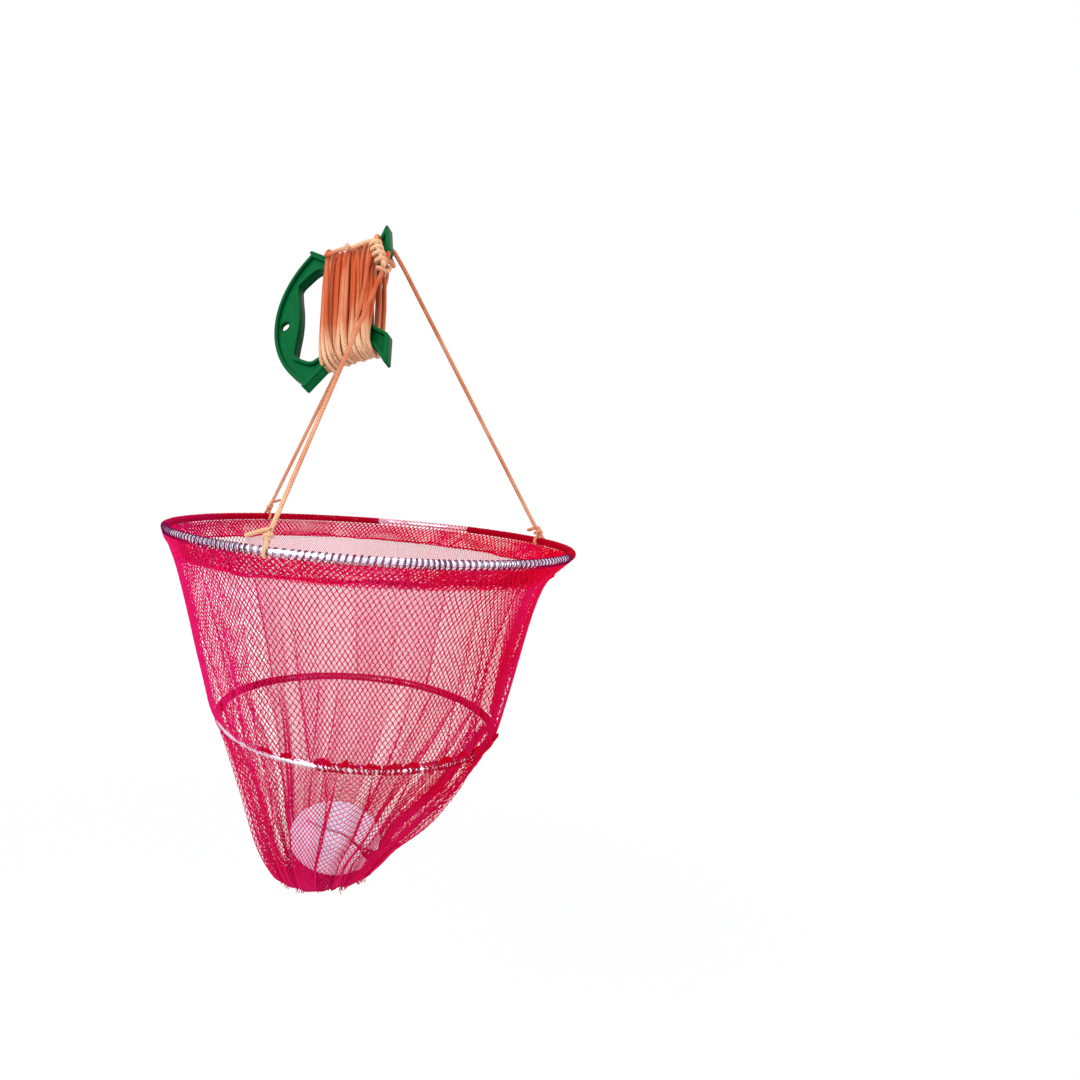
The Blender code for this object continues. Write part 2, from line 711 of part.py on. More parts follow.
def lower_pieces():
    """The lower hoop and the bag below it."""
    stations, opened = opened_stations(LOWER_WALL, LOWER_OPENINGS, LOWER_ROWS)
    seam = [at_drop(stations, 156.0)] + [s for s in stations if 156.5 < s[0] < 255.0] + [at_drop(stations, 256.0)]
    return [
        revolve("lower_hoop", circle_profile(WIRE_R, LOWER_HOOP_R), HOOP_DROP, hoop_steel("lower_hoop")),
        ring_casing("lower_hoop_casing", LOWER_HOOP_R, HOOP_DROP, netting("lower_hoop_casing")),
        netting_wall("lower_net_wall", stations, opened, netting("lower_net_wall")),
        seam_strip("side_seam_lower", seam, netting("side_seam_lower")),
    ]


def build():
    """Makes every piece of the net and hangs the moving ones on their joints."""
    for obj in list(bpy.data.objects):
        bpy.data.objects.remove(obj)
    winder_pieces()
    swing = holder("net_swing_pivot", HUB)
    carry(swing, upper_pieces())
    slide = holder("lower_hoop_slide", on_net(0.0, 0.0, HOOP_DROP), swing)
    carry(slide, lower_pieces())
    lift = holder("bag_end_slide", on_net(BASE_LEAN, 0.0, GATHER_DROP), slide)
    carry(lift, [bag_gather(netting("bag_gather")), bottom_tie(cord("bottom_tie"))])
    rock = holder("base_disc_rock", on_net(BASE_LEAN, 0.0, DISC_DROP), lift)
    carry(rock, [base_disc(material("base_disc", (0.85, 0.83, 0.9), 0.4))])


build()
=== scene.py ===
"""Dressed crab hoop net: knitted netting on two wire hoops, a three-leg bridle and a wound hand line on its winder."""

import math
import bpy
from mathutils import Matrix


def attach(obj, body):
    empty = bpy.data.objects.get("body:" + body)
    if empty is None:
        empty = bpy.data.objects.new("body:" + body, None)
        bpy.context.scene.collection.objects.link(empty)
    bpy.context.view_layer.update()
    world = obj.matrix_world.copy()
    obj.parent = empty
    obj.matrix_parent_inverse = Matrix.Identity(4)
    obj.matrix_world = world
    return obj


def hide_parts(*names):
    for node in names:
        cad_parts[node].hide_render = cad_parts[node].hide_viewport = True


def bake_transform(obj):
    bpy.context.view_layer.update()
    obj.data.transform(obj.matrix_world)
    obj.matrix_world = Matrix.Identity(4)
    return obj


bl_info = {
    "name": "Crab Hoop Net",
    "version": (1, 0, 0),
    "blender": (4, 5, 0),
    "location": "3D View > Sidebar > Hoop Net",
    "description": "Builds a crab hoop net with strand netting, braided cords and a moulded winder",
    "category": "Add Mesh",
}

import bmesh
import bpy
import numpy as np
from mathutils import Matrix, Vector

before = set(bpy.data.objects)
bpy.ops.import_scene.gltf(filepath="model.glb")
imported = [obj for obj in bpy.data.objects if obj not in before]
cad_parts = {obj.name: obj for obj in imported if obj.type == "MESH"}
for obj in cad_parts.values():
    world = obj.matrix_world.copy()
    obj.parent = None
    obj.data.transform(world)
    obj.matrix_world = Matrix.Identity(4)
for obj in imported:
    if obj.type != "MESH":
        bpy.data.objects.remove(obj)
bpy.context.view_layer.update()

MM = 0.001  # metres in a millimetre

# Places taken over from the solids, in millimetres and degrees
WINDER_ANGLES = (-31.5, -24.0, -16.5)
HUB_UV = (84.5, 33.0)
HUB_HEIGHT = 203.0
UPPER_HOOP_R = 150.0
LOWER_HOOP_R = 106.0
WIRE_R = 2.0
HOOP_DROP = 142.0
SEAM_AZIMUTH = 5.0
CORD_R = 1.5

# Each bridle leg: place round the upper hoop in degrees, start at the prong, and where it leaves the loop there
LEGS = {
    "front": (248.0, (91.2, 28.2, -8.6), (88.0, 27.4, -8.4)),
    "back": (128.0, (79.0, 30.0, 9.8), (79.6, 34.0, 9.2)),
    "right": (16.0, (88.9, 40.8, 6.2), (84.6, 46.4, 7.2)),
}
# Its wear at the prong and at the hoop, from 0, dyed, to 1, bleached
LEG_WEAR = {"front": (0.05, 0.85), "back": (0.45, 0.62), "right": (0.22, 0.60)}
# Each knot in millimetres: shift along the wire, radius of loop, cord and wraps, step and rise of its tail; then wear
KNOTS = {
    "front": (-3.8, 3.45, 1.34, 2.15, 2.7, -1.25, 0.86),
    "back": (0.0, 3.3, 1.15, 1.75, 1.5, 0.75, 0.40),
    "right": (8.0, 3.6, 1.42, 2.2, 1.5, -0.45, 0.50),
}
KNOT_RISE = 8.2
KNOT_INSET = 2.5
# The cord's way round the upper prong, in winder millimetres
PRONG_LOOP = ((81.6, 41.0, -11.0), (84.0, 33.6, -10.8), (86.2, 27.6, -9.4), (87.4, 26.2, -5.2), (87.8, 27.4, 0.0),
              (87.2, 29.4, 5.6), (85.2, 34.6, 9.2), (82.4, 43.0, 9.4), (80.6, 49.6, 8.2), (79.0, 53.0, 3.6),
              (78.6, 53.2, -1.8), (79.2, 50.6, -6.6), (80.2, 45.6, -9.8), (81.6, 41.0, -11.0))

# Hand line, in winder millimetres: turns on the waist, each layer's depth and how far it stays below the outer one
WIND_LAYERS = 3
LAYER_TURNS = 13
WIND_START = 37.4
WIND_PITCH = 2.95
WIND_MIDDLE = 57.0
WIND_HALF_HEIGHT = 45.2
LAYER_DEPTHS = (7.9, 10.2, 12.5)
LAYER_SHORT = (3.0, 1.2, 0.0)
# Turns between which the line climbs from one layer to the next
LAYER_STEPS = (0, 12.6, 13.2, 25.6, 26.2, 39)
# Outer turns that cross their neighbours: turn, slide along the waist and rise
CROSSED_TURNS = ((30.5, 20.5, 2.3), (35.5, -7.0, 1.5), (28.5, -5.0, 1.2), (33.5, 6.0, 1.3))
# The strand over the turns, the middle of the whipping at the prong, and the tucked end
LEAD_ROUTE = ((39.4, 44.6, -11.6), (42.4, 40.6, -14.8), (47.1, 39.9, -15.6), (53.0, 40.2, -15.8), (58.6, 39.4, -16.2),
              (60.4, 40.4, -17.4), (61.6, 38.4, -18.2), (60.4, 36.8, -16.8), (59.6, 38.6, -15.4), (63.0, 38.6, -15.4),
              (68.0, 38.4, -15.6), (74.0, 38.6, -15.6), (79.0, 38.6, -15.2), (81.8, 36.6, -14.6), (84.4, 28.0, -14.8),
              (87.2, 19.0, -14.6), (88.6, 13.2, -13.8), (89.6, 13.6, -15.2), (87.8, 19.6, -16.2), (85.2, 28.2, -16.8),
              (82.6, 36.4, -16.4))
HITCH_AXIS = ((82.0, 36.0, -15.2), (83.6, 30.4, -15.6), (85.2, 24.6, -15.6), (86.8, 18.4, -15.0), (88.0, 12.0, -13.6))
TUCKED_END = ((88.8, 11.4, -9.6), (88.8, 15.6, -5.6), (88.6, 20.6, -3.0))

# Winder: half outline from the middle of the grip up and round to the waist's end, and half of the finger opening
RIM_HEIGHT = 4.4
RIM_WIDTH = 2.7
RIM_ROUNDING = 0.75
WEB_HALF = 1.4
GRIP_APEX = -8.0
GRIP_END = (19.0, 57.5)
ARM_OUTLINE = ((22.0, 60.4), (38.0, 47.0), (45.0, 41.0), (50.0, 39.5), (64.0, 39.5), (72.0, 40.6), (76.0, 43.4),
               (80.0, 50.4), (85.0, 60.4), (86.8, 60.0), (88.0, 37.0), (79.0, 29.0), (68.5, 18.0), (63.5, 8.0))
WAIST_END = (62.5, 0.0)
WAIST = ((38.4, -38.0), (64.0, -38.6), (62.2, -8.0), (61.6, 0.0), (62.2, 8.0), (64.0, 38.6), (38.4, 38.0))
EDGE_BAR = ((19.6, 60.9), (21.6, 62.3), (38.8, 48.2), (37.9, 47.1), (21.6, 60.3))
GRIP_OPENING = ((37.5, 36.8), (33.5, 39.6), (27.6, 42.0), (24.0, 40.8), (11.4, 32.5), (12.6, 22.0), (14.2, 11.0))
OPENING_BULGE = 14.8
LANYARD_HOLE_R = 3.7
LANYARD_RIM = 1.1

# Base disc: its middle off the hoops' axis, tilt, dish and rim section, and its slit's outline in its own plane
DISC_PLACE = (-9.9, 1.6, 249.4)
DISC_TILT = 22.0
DISC_R = 36.0
DISC_HALF = 1.0
DISC_DISH = 7.0
DISC_RIM = ((-0.2, 7.75), (0.0, 7.3), (0.0, 6.7), (-0.2, 6.25))
DISC_SIDES = 120
DISC_SLIT = ((-24.0, 17.0), (-11.0, 13.1), (6.4, 9.7), (21.2, -3.4), (40.0, -14.5),
             (30.5, -30.0), (19.0, -6.2), (5.6, 7.3), (-11.6, 10.9), (-24.6, 15.2))

# Netting meridians: depth below the upper hoop, radius and sideways lean
UPPER_WALL = ((3.6, 150.4, 0.0), (9.0, 146.0, -2.0), (16.0, 141.8, -3.6), (27.0, 136.8, -4.6), (50.0, 130.0, -4.6),
              (80.0, 122.8, -3.4), (110.0, 116.2, -1.6), (132.0, 111.6, -0.4), (140.2, 109.2, 0.0))
LOWER_WALL = ((145.4, 106.4, 0.0), (156.0, 100.6, -0.4), (172.0, 93.0, -1.6), (195.0, 81.5, -5.4), (218.0, 69.5, -9.4),
              (240.0, 56.5, -14.0), (254.0, 48.8, -15.0), (265.0, 41.6, -15.6))
BAG_END = ((265.0, 41.6, -15.6), (269.4, 36.6, -15.8), (273.2, 30.0, -15.8), (275.8, 22.4, -15.4), (277.2, 14.0, -14.6),
           (277.2, 9.0, -14.0), (275.8, 6.2, -13.5), (274.4, 5.0, -13.5), (276.8, 5.2, -13.5), (278.6, 8.0, -13.5),
           (279.8, 11.5, -13.5))
HEM_OUTSIDE = ((17.4, 142.6, -3.8), (12.6, 145.1, -3.0), (7.6, 148.5, -1.8))
HEM_INSIDE = ((7.6, 145.2, -1.8), (12.6, 141.4, -3.0), (17.0, 139.0, -3.8))
HEM_CLEARANCE = 0.55
CASING_CLEARANCE = 0.75
BAG_TILT = 0.16

# Runs of netting round each wall: from and to in degrees, share of the strand's diameter, and nets laid in each other.
# The far side lies in two fine nets and the sides are drawn thin, so that they read as open as in the photograph.
UPPER_RUNS = ((0.0, 45.0, 0.56, 2), (45.0, 90.0, 0.58, 2), (90.0, 138.0, 0.58, 2), (138.0, 222.0, 0.80, 1),
              (222.0, 318.0, 1.0, 1), (318.0, 360.0, 0.88, 1))
LOWER_RUNS = ((0.0, 60.0, 0.50, 2), (60.0, 138.0, 0.54, 2), (138.0, 236.0, 0.72, 1), (236.0, 312.0, 0.90, 1),
              (312.0, 360.0, 0.72, 1))
# Netting lines: share of a row that a joint takes, sideways gap at a joint, and wander, all in rows or wales
JOINT = 0.42
PAIR_GAP = 0.17
WANDER = 0.8

# Ruffles at the lower hoop: place in degrees and height; frayed tips under the bag: place, distance and reach
PUCKERS = ((238.0, 3.0), (247.0, 3.4), (260.0, 4.2), (268.0, 4.6), (276.0, 3.4), (284.0, 3.8), (290.0, 3.4),
           (303.0, 4.8), (311.0, 5.2), (319.0, 5.0), (329.0, 4.6), (337.0, 4.4))
FRAYED_TIPS = ((205.0, 33.0, 4.0), (232.0, 30.0, 3.0), (255.0, 24.0, 4.5), (282.0, 21.0, 3.5),
               (300.0, 27.0, 4.0), (325.0, 31.0, 3.0), (170.0, 31.0, 3.0), (60.0, 25.0, 3.0))
FRAYED_ROWS = 9
TIPS_DROP = 272.4
TIPS_LEAN = -14.0
# Cord round the bag's neck: sideways lean, depth below the upper hoop, radius, turns and drop of each turn
NECK_TIE = (-13.5, 275.2, 6.3, 1.6, 2.75)
# Side seam: width, points across it, step down it and length of one stitch
SEAM_WIDTH = 11.0
SEAM_COLUMNS = 13
SEAM_STEP = 0.27
SEAM_STITCH = 2.1

# Camera that took the photograph's view: place in metres, turn in degrees and focal length for a 36 mm sensor
CAMERA_PLACE = (0.0690, -0.5870, -0.0982)
CAMERA_TURN = (-0.02, 6.97, 3.90)
CAMERA_LENS = 25.0
CAMERA_SHIFT = (0.1656, 0.0139)

# Stage, in metres: floor and the point that the lamps face; each lamp's place, size and tint
FLOOR_LEVEL = -0.82
FLOOR_HALF = 4
LIT_LEVEL = -0.2
LAMPS = {
    "key": ((-0.75, -1.05, 0.55), 0.9, (1.0, 0.98, 1.0)),
    "fill": ((1.25, -0.7, 0.05), 1.0, (0.95, 0.95, 1.0)),
    "top": ((0.05, 0.25, 1.1), 1.1, (1.0, 1.0, 1.0)),
}


class NettingSettings(bpy.types.PropertyGroup):
    """Sizes and colour of the knitted netting."""

    cells_round: bpy.props.IntProperty(name="Cells Round", description="Mesh cells round the bag", default=232, min=40)
    row_pitch: bpy.props.FloatProperty(name="Row Pitch", description="Height of one row of cells", default=0.00287,
                                       subtype="DISTANCE", unit="LENGTH")
    strand: bpy.props.FloatProperty(name="Strand Diameter", description="Diameter of one knitted strand",
                                    default=0.00078, subtype="DISTANCE", unit="LENGTH")
    sides: bpy.props.IntProperty(name="Strand Sides", description="Faces round one strand", default=3, min=3, max=8)
    colour: bpy.props.FloatVectorProperty(name="Netting Colour", description="Dye of the netting", subtype="COLOR",
                                          size=3, default=(0.74, 0.001, 0.024), min=0.0, max=1.0)
    pink: bpy.props.FloatVectorProperty(name="Netting Blush", description="Pink of thin and faded netting",
                                        subtype="COLOR", size=3, default=(0.82, 0.014, 0.180), min=0.0, max=1.0)


class CordSettings(bpy.types.PropertyGroup):
    """Sizes and colour of the braided cord."""

    braid_pitch: bpy.props.FloatProperty(name="Braid Pitch", description="Length of one plait of the cord",
                                         default=0.0021, subtype="DISTANCE", unit="LENGTH")
    strands: bpy.props.IntProperty(name="Braid Strands", description="Strands each way round the cord", default=5,
                                   min=2)
    colour: bpy.props.FloatVectorProperty(name="Cord Colour", description="Dye of the cord", subtype="COLOR", size=3,
                                          default=(0.80, 0.165, 0.043), min=0.0, max=1.0)
    pale: bpy.props.FloatVectorProperty(name="Pale Cord Colour", description="Worn crowns of the cord", subtype="COLOR",
                                        size=3, default=(1.0, 0.70, 0.42), min=0.0, max=1.0)


class HardPartSettings(bpy.types.PropertyGroup):
    """Colours of the winder, the hoops and the base disc."""

    winder: bpy.props.FloatVectorProperty(name="Winder Colour", description="Moulded green plastic", subtype="COLOR",
                                          size=3, default=(0.0003, 0.078, 0.018), min=0.0, max=1.0)
    steel: bpy.props.FloatVectorProperty(name="Hoop Colour", description="Bare hoop wire", subtype="COLOR", size=3,
                                         default=(0.86, 0.83, 0.97), min=0.0, max=1.0)
    disc: bpy.props.FloatVectorProperty(name="Disc Colour", description="Translucent base disc", subtype="COLOR",
                                        size=3, default=(0.80, 0.82, 1.0), min=0.0, max=1.0)


class StageSettings(bpy.types.PropertyGroup):
    """Light levels of the stage."""

    key: bpy.props.FloatProperty(name="Key Light", description="Power of the large front light", default=14.0,
                                 unit="POWER")
    fill: bpy.props.FloatProperty(name="Fill Light", description="Power of the side light", default=7.0, unit="POWER")
    top: bpy.props.FloatProperty(name="Top Light", description="Power of the overhead light", default=6.0, unit="POWER")
    room: bpy.props.FloatProperty(name="Room Light", description="Strength of the room's own light", default=0.86)


# Shared geometry


def winder_matrix():
    """Turns winder coordinates (u, n, v) into the row frame."""
    z, x, y = (math.radians(a) for a in WINDER_ANGLES)
    return Matrix.Rotation(z, 4, "Z") @ Matrix.Rotation(x, 4, "X") @ Matrix.Rotation(y, 4, "Y")


WINDER = winder_matrix()
HUB = WINDER @ Vector((HUB_UV[0] * MM, 0.0, HUB_UV[1] * MM))
HOOP_CENTRE = HUB - Vector((0.0, 0.0, HUB_HEIGHT * MM))
CENTRE_MM = np.array(HOOP_CENTRE) / MM


def on_winder(u, v, n):
    """A point from winder coordinates in millimetres."""
    return WINDER @ Vector((u * MM, n * MM, v * MM))


def on_net(x, y, drop):
    """A point from millimetres off the hoops' axis and below the upper hoop."""
    return HOOP_CENTRE + Vector((x * MM, y * MM, -drop * MM))


def smooth_line(points, per_span=12):
    """A Catmull-Rom line through points, as an array."""
    p = np.array([tuple(q) for q in points], float)
    p = np.vstack([2 * p[0] - p[1], p, 2 * p[-1] - p[-2]])
    made = []
    for i in range(1, len(p) - 2):
        a, b, c, d = p[i - 1], p[i], p[i + 1], p[i + 2]
        for t in np.linspace(0, 1, per_span, endpoint=False):
            made.append(0.5 * (2 * b + (c - a) * t + (2 * a - 5 * b + 4 * c - d) * t ** 2
                               + (3 * b - a - 3 * c + d) * t ** 3))
    made.append(p[-2])
    return np.array(made)


def lengths(line):
    """Distance along a line at each of its points."""
    return np.concatenate([[0.0], np.cumsum(np.linalg.norm(np.diff(line, axis=0), axis=1))])


def even_line(line, step):
    """The line again with points an even step apart."""
    along = lengths(line)
    at = np.linspace(0.0, along[-1], max(2, int(round(along[-1] / step)) + 1))
    return np.stack([np.interp(at, along, line[:, k]) for k in range(line.shape[1])], axis=1)


def mesh_object(name, verts, faces, smooth=True, skin=None):
    """A plain mesh object at the origin."""
    mesh = bpy.data.meshes.new(name)
    mesh.from_pydata([tuple(v) for v in verts], [], [tuple(f) for f in faces])
    mesh.update()
    if smooth:
        mesh.shade_smooth()
    if skin is not None:
        mesh.materials.append(skin)
    return linked(name, mesh)


def linked(name, data):
    """A new object in the scene for a mesh, camera or lamp."""
    obj = bpy.data.objects.new(name, data)
    bpy.context.scene.collection.objects.link(obj)
    return obj


def evaluated_mesh(obj):
    """A plain mesh of an object with its modifiers applied."""
    graph = bpy.context.evaluated_depsgraph_get()
    return bpy.data.meshes.new_from_object(obj.evaluated_get(graph), depsgraph=graph)


def outward(obj):
    """Merges doubles and turns every closed shell of an object outwards."""
    bm = bmesh.new()
    bm.from_mesh(obj.data)
    bmesh.ops.remove_doubles(bm, verts=bm.verts, dist=1e-7)
    bmesh.ops.recalc_face_normals(bm, faces=bm.faces)
    bm.to_mesh(obj.data)
    bm.free()
    return obj


# Materials


class Nodes:
    """A short way to write a material's node graph on its Principled shader."""

    def __init__(self, name):
        self.material = bpy.data.materials.new(name)
        self.material.use_nodes = True
        self.tree = self.material.node_tree
        self.shader = self.tree.nodes["Principled BSDF"]

    def add(self, kind, **values):
        """Adds a node with its properties set."""
        node = self.tree.nodes.new(kind)
        for key, value in values.items():
            setattr(node, key, value)
        return node

    def link(self, source, target):
        """Links an output socket to an input socket."""
        self.tree.links.new(source, target)

    def math(self, operation, a, b=None, clamp=False):
        """A Math node whose inputs are sockets or numbers."""
        node = self.add("ShaderNodeMath", operation=operation, use_clamp=clamp)
        for slot, value in zip(node.inputs, (a, b)):
            if value is None:
                continue
            if isinstance(value, (int, float)):
                slot.default_value = value
            else:
                self.link(value, slot)
        return node.outputs[0]

    def coords(self):
        """Object coordinates."""
        return self.add("ShaderNodeTexCoord").outputs["Object"]

    def axis(self, name):
        """The X, Y or Z of the object coordinates."""
        split = self.add("ShaderNodeSeparateXYZ")
        self.link(self.coords(), split.inputs[0])
        return split.outputs[name]

    def noise(self, scale, detail=3.0, roughness=0.5):
        """A noise value over object coordinates."""
        node = self.add("ShaderNodeTexNoise")
        for key, value in (("Scale", scale), ("Detail", detail), ("Roughness", roughness)):
            node.inputs[key].default_value = value
        self.link(self.coords(), node.inputs["Vector"])
        return node.outputs["Fac"]

    def ramp(self, value, stops):
        """A colour ramp over a value; stops are (place, colour)."""
        node = self.add("ShaderNodeValToRGB")
        elements = node.color_ramp.elements
        while len(elements) < len(stops):
            elements.new(0.5)
        for element, (place, colour) in zip(elements, stops):
            element.position = place
            element.color = (*colour, 1.0)
        self.link(value, node.inputs["Fac"])
        return node.outputs["Color"]

    def mix(self, factor, a, b, blend="MIX"):
        """A colour mix of two sockets or colours."""
        node = self.add("ShaderNodeMix", data_type="RGBA", blend_type=blend)
        for slot, value in ((node.inputs[0], factor), (node.inputs[6], a), (node.inputs[7], b)):
            if isinstance(value, (int, float)):
                slot.default_value = value
            elif isinstance(value, (tuple, list)):
                slot.default_value = (*value, 1.0)
            else:
                self.link(value, slot)
        return node.outputs[2]

    def spread(self, value, low, high):
        """A value from 0 to 1 stretched from low to high."""
        node = self.add("ShaderNodeMapRange")
        node.inputs["To Min"].default_value = low
        node.inputs["To Max"].default_value = high
        self.link(value, node.inputs["Value"])
        return node.outputs["Result"]

    def bump(self, height, strength, distance):
        """A bump on the shader's normal."""
        node = self.add("ShaderNodeBump")
        node.inputs["Strength"].default_value = strength
        node.inputs["Distance"].default_value = distance
        self.link(height, node.inputs["Height"])
        self.link(node.outputs["Normal"], self.shader.inputs["Normal"])

    def plain(self, **values):
        """Sets plain values on the shader by socket name, with _ for a space."""
        for key, value in values.items():
            slot = self.shader.inputs[key.replace("_", " ")]
            slot.default_value = (*value, 1.0) if isinstance(value, (tuple, list)) else value

    def finish(self, colour, roughness, grain, **values):
        """Colour, roughness as (value, low, high), bump as (height, strength, distance) and plain values at once."""
        self.link(colour, self.shader.inputs["Base Color"])
        self.link(self.spread(*roughness), self.shader.inputs["Roughness"])
        self.plain(**values)
        self.bump(*grain)
        return self.material


def shade(colour, factor):
    """A darker or lighter shade of a colour."""
    return tuple(min(1.0, c * factor) for c in colour)


def netting_material(name, dark=1.0, blush=0.0, colour=None):
    """Dyed knitted polyester in lit and shaded copies: painted shade makes it deep red where it lies close, painted
    light makes it pinker where it is thin and towards its left side, with random pinker patches.
    """
    settings = bpy.context.scene.hoop_net_netting
    base, pink = colour or tuple(settings.colour), colour or tuple(settings.pink)
    n = Nodes(name)
    # From 0 at the mouth's right rim to 1 at its left one, which is pinker as painted light
    right_rim = HOOP_CENTRE.x + UPPER_HOOP_R * MM
    across = n.math("MULTIPLY", n.math("SUBTRACT", right_rim, n.axis("X")), 0.5 / (UPPER_HOOP_R * MM))
    patches = n.spread(n.noise(20.0, 2.0, 0.5), -0.55, 0.55)
    # Painted light and shade: pinker towards the lit left side and by each piece's blush, darker by each piece's dark
    # factor; the noise patches are random tone
    lit_and_patchy = n.math("ADD", n.math("ADD", n.math("MULTIPLY", across, 0.62), patches), blush, clamp=True)
    dye = n.mix(lit_and_patchy, shade(base, dark), shade(pink, dark))
    fine = n.noise(900.0, 2.0, 0.6)
    tone = n.ramp(fine, ((0.25, (0.70, 0.62, 0.66)), (0.6, (1.0, 1.0, 1.0))))
    return n.finish(n.mix(1.0, dye, tone, "MULTIPLY"), (fine, 0.50, 0.75), (n.noise(3200.0, 2.0, 0.7), 0.25, 0.0001),
                    IOR=1.2, Specular_IOR_Level=0.04)


def braid_material(name, colour=None, pale=None, wear=0.30):
    """Braided cord: crossing strands, painted shade in the valleys between them and pale, bleached crowns, from the
    cord's own round and along values.
    """
    settings = bpy.context.scene.hoop_net_cord
    base = tuple(colour or settings.colour)
    light = tuple(pale or settings.pale)
    n = Nodes(name)
    place = n.add("ShaderNodeAttribute", attribute_name="braid")
    bleach = n.add("ShaderNodeAttribute", attribute_name="bleach").outputs["Fac"]
    split = n.add("ShaderNodeSeparateXYZ")
    n.link(place.outputs["Vector"], split.inputs[0])
    turn = n.math("ARCTAN2", split.outputs["Y"], split.outputs["X"])
    along = n.math("MULTIPLY", split.outputs["Z"], math.pi / settings.braid_pitch)
    round_it = n.math("MULTIPLY", turn, settings.strands / 2.0)
    one, two = (n.math("ABSOLUTE", n.math("SINE", n.math(way, round_it, along))) for way in ("ADD", "SUBTRACT"))
    height = n.math("POWER", n.math("MULTIPLY", one, two), 0.6)
    patchy = n.spread(n.noise(60.0, 3.0, 0.6), -wear, wear)
    lightened = n.math("ADD", bleach, patchy, clamp=True)
    crown = n.mix(lightened, base, light)
    # Painted shade: the valleys between the strands are darker and redder than the crowns
    shaded_valley = n.mix(lightened, tuple(c * f for c, f in zip(base, (0.56, 0.20, 0.24))),
                   tuple(c * f for c, f in zip(light, (0.55, 0.36, 0.30))))
    fuzzy = n.math("ADD", height, n.math("MULTIPLY", n.noise(2600.0), 0.25))
    return n.finish(n.mix(n.spread(height, 0.0, 1.0), shaded_valley, crown), (n.noise(500.0), 0.42, 0.68),
                    (fuzzy, 0.9, 0.0004), IOR=1.25, Specular_IOR_Level=0.25)


def steel_material(name, level):
    """Bright plated wire at a level: painted highlight on its white crown, painted shade on its blue-black underside,
    fine scratches and slight staining.
    """
    steel = tuple(bpy.context.scene.hoop_net_hard.steel)
    n = Nodes(name)
    # Painted light and shade: lighter over the wire's crown, blue-black under it; the stain noise moves the line
    # between them
    above = n.math("SUBTRACT", n.axis("Z"), HOOP_CENTRE.z + level * MM)
    rise = n.spread(n.math("MULTIPLY", above, 1.0 / (WIRE_R * MM)), 0.5, 1.0)
    stain = n.spread(n.noise(150.0, 3.0, 0.6), -0.16, 0.16)
    tone = n.ramp(n.math("ADD", rise, stain), ((0.20, (0.06, 0.045, 0.20)), (0.38, shade(steel, 0.55)), (0.52, steel)))
    return n.finish(tone, (n.noise(700.0), 0.10, 0.28), (n.noise(1500.0, 2.0), 0.12, 0.0001), Metallic=0.8)


def winder_material():
    """Injection-moulded green plastic: webs near the base colour, painted shade down the rims' walls, rim tops lighter
    as painted highlight, fine mould texture and a painted highlight along the sharp edges.
    """
    base = tuple(bpy.context.scene.hoop_net_hard.winder)
    n = Nodes("moulded_green_plastic")
    # Height over the winder's middle plane, from 0 to 1 at the rims
    facing = n.add("ShaderNodeVectorMath", operation="DOT_PRODUCT")
    n.link(n.coords(), facing.inputs[0])
    facing.inputs[1].default_value = tuple(WINDER.to_3x3() @ Vector((0.0, 1.0, 0.0)))
    rise = n.math("MULTIPLY", n.math("ABSOLUTE", facing.outputs["Value"]), 1.0 / (RIM_HEIGHT * MM))
    # Painted shade darkens the rims' walls next to the webs and painted highlight lightens the rim tops
    level = n.ramp(rise, ((0.33, shade(base, 0.94)), (0.42, shade(base, 0.34)), (0.84, shade(base, 0.86)),
                          (0.97, shade(base, 1.12))))
    cloud = n.spread(n.noise(28.0, 3.0, 0.5), 0.84, 1.12)
    colour = n.mix(1.0, level, cloud, "MULTIPLY")
    # Painted highlight: the sharp edges turn lighter green, broken up by noise
    edges = n.add("ShaderNodeNewGeometry").outputs["Pointiness"]
    lightened = n.ramp(edges, ((0.515, (0.0, 0.0, 0.0)), (0.58, (1.0, 1.0, 1.0))))
    highlight_breakup = n.math("MULTIPLY", n.noise(260.0, 3.0, 0.7), 0.55)
    return n.finish(n.mix(n.math("MULTIPLY", lightened, highlight_breakup), colour, (0.003, 0.20, 0.06)),
                    (n.noise(420.0, 4.0, 0.65), 0.22, 0.38), (n.noise(1800.0, 2.0, 0.6), 0.08, 0.0002),
                    IOR=1.25, Specular_IOR_Level=0.14)


def disc_material():
    """Pale lavender sheet plastic: cloudy body, fine scratches and a soft gloss."""
    base = tuple(bpy.context.scene.hoop_net_hard.disc)
    n = Nodes("pale_disc_plastic")
    colour = n.ramp(n.noise(55.0, 3.0, 0.55), ((0.28, shade(base, 0.86)), (0.5, base), (0.72, shade(base, 1.10))))
    return n.finish(colour, (n.noise(380.0, 4.0), 0.30, 0.55), (n.noise(240.0, 3.0, 0.6), 0.18, 0.0005),
                    IOR=1.3, Specular_IOR_Level=0.3, Transmission_Weight=0.15)


def background_rays(tree):
    """A value that is 1 for rays that show the background: from the camera, a gloss or a clear piece."""
    rays = tree.nodes.new("ShaderNodeLightPath")
    seen = rays.outputs["Is Camera Ray"]
    for ray in ("Is Glossy Ray", "Is Transmission Ray"):
        either = tree.nodes.new("ShaderNodeMath")
        either.operation = "MAXIMUM"
        tree.links.new(seen, either.inputs[0])
        tree.links.new(rays.outputs[ray], either.inputs[1])
        seen = either.outputs[0]
    return seen


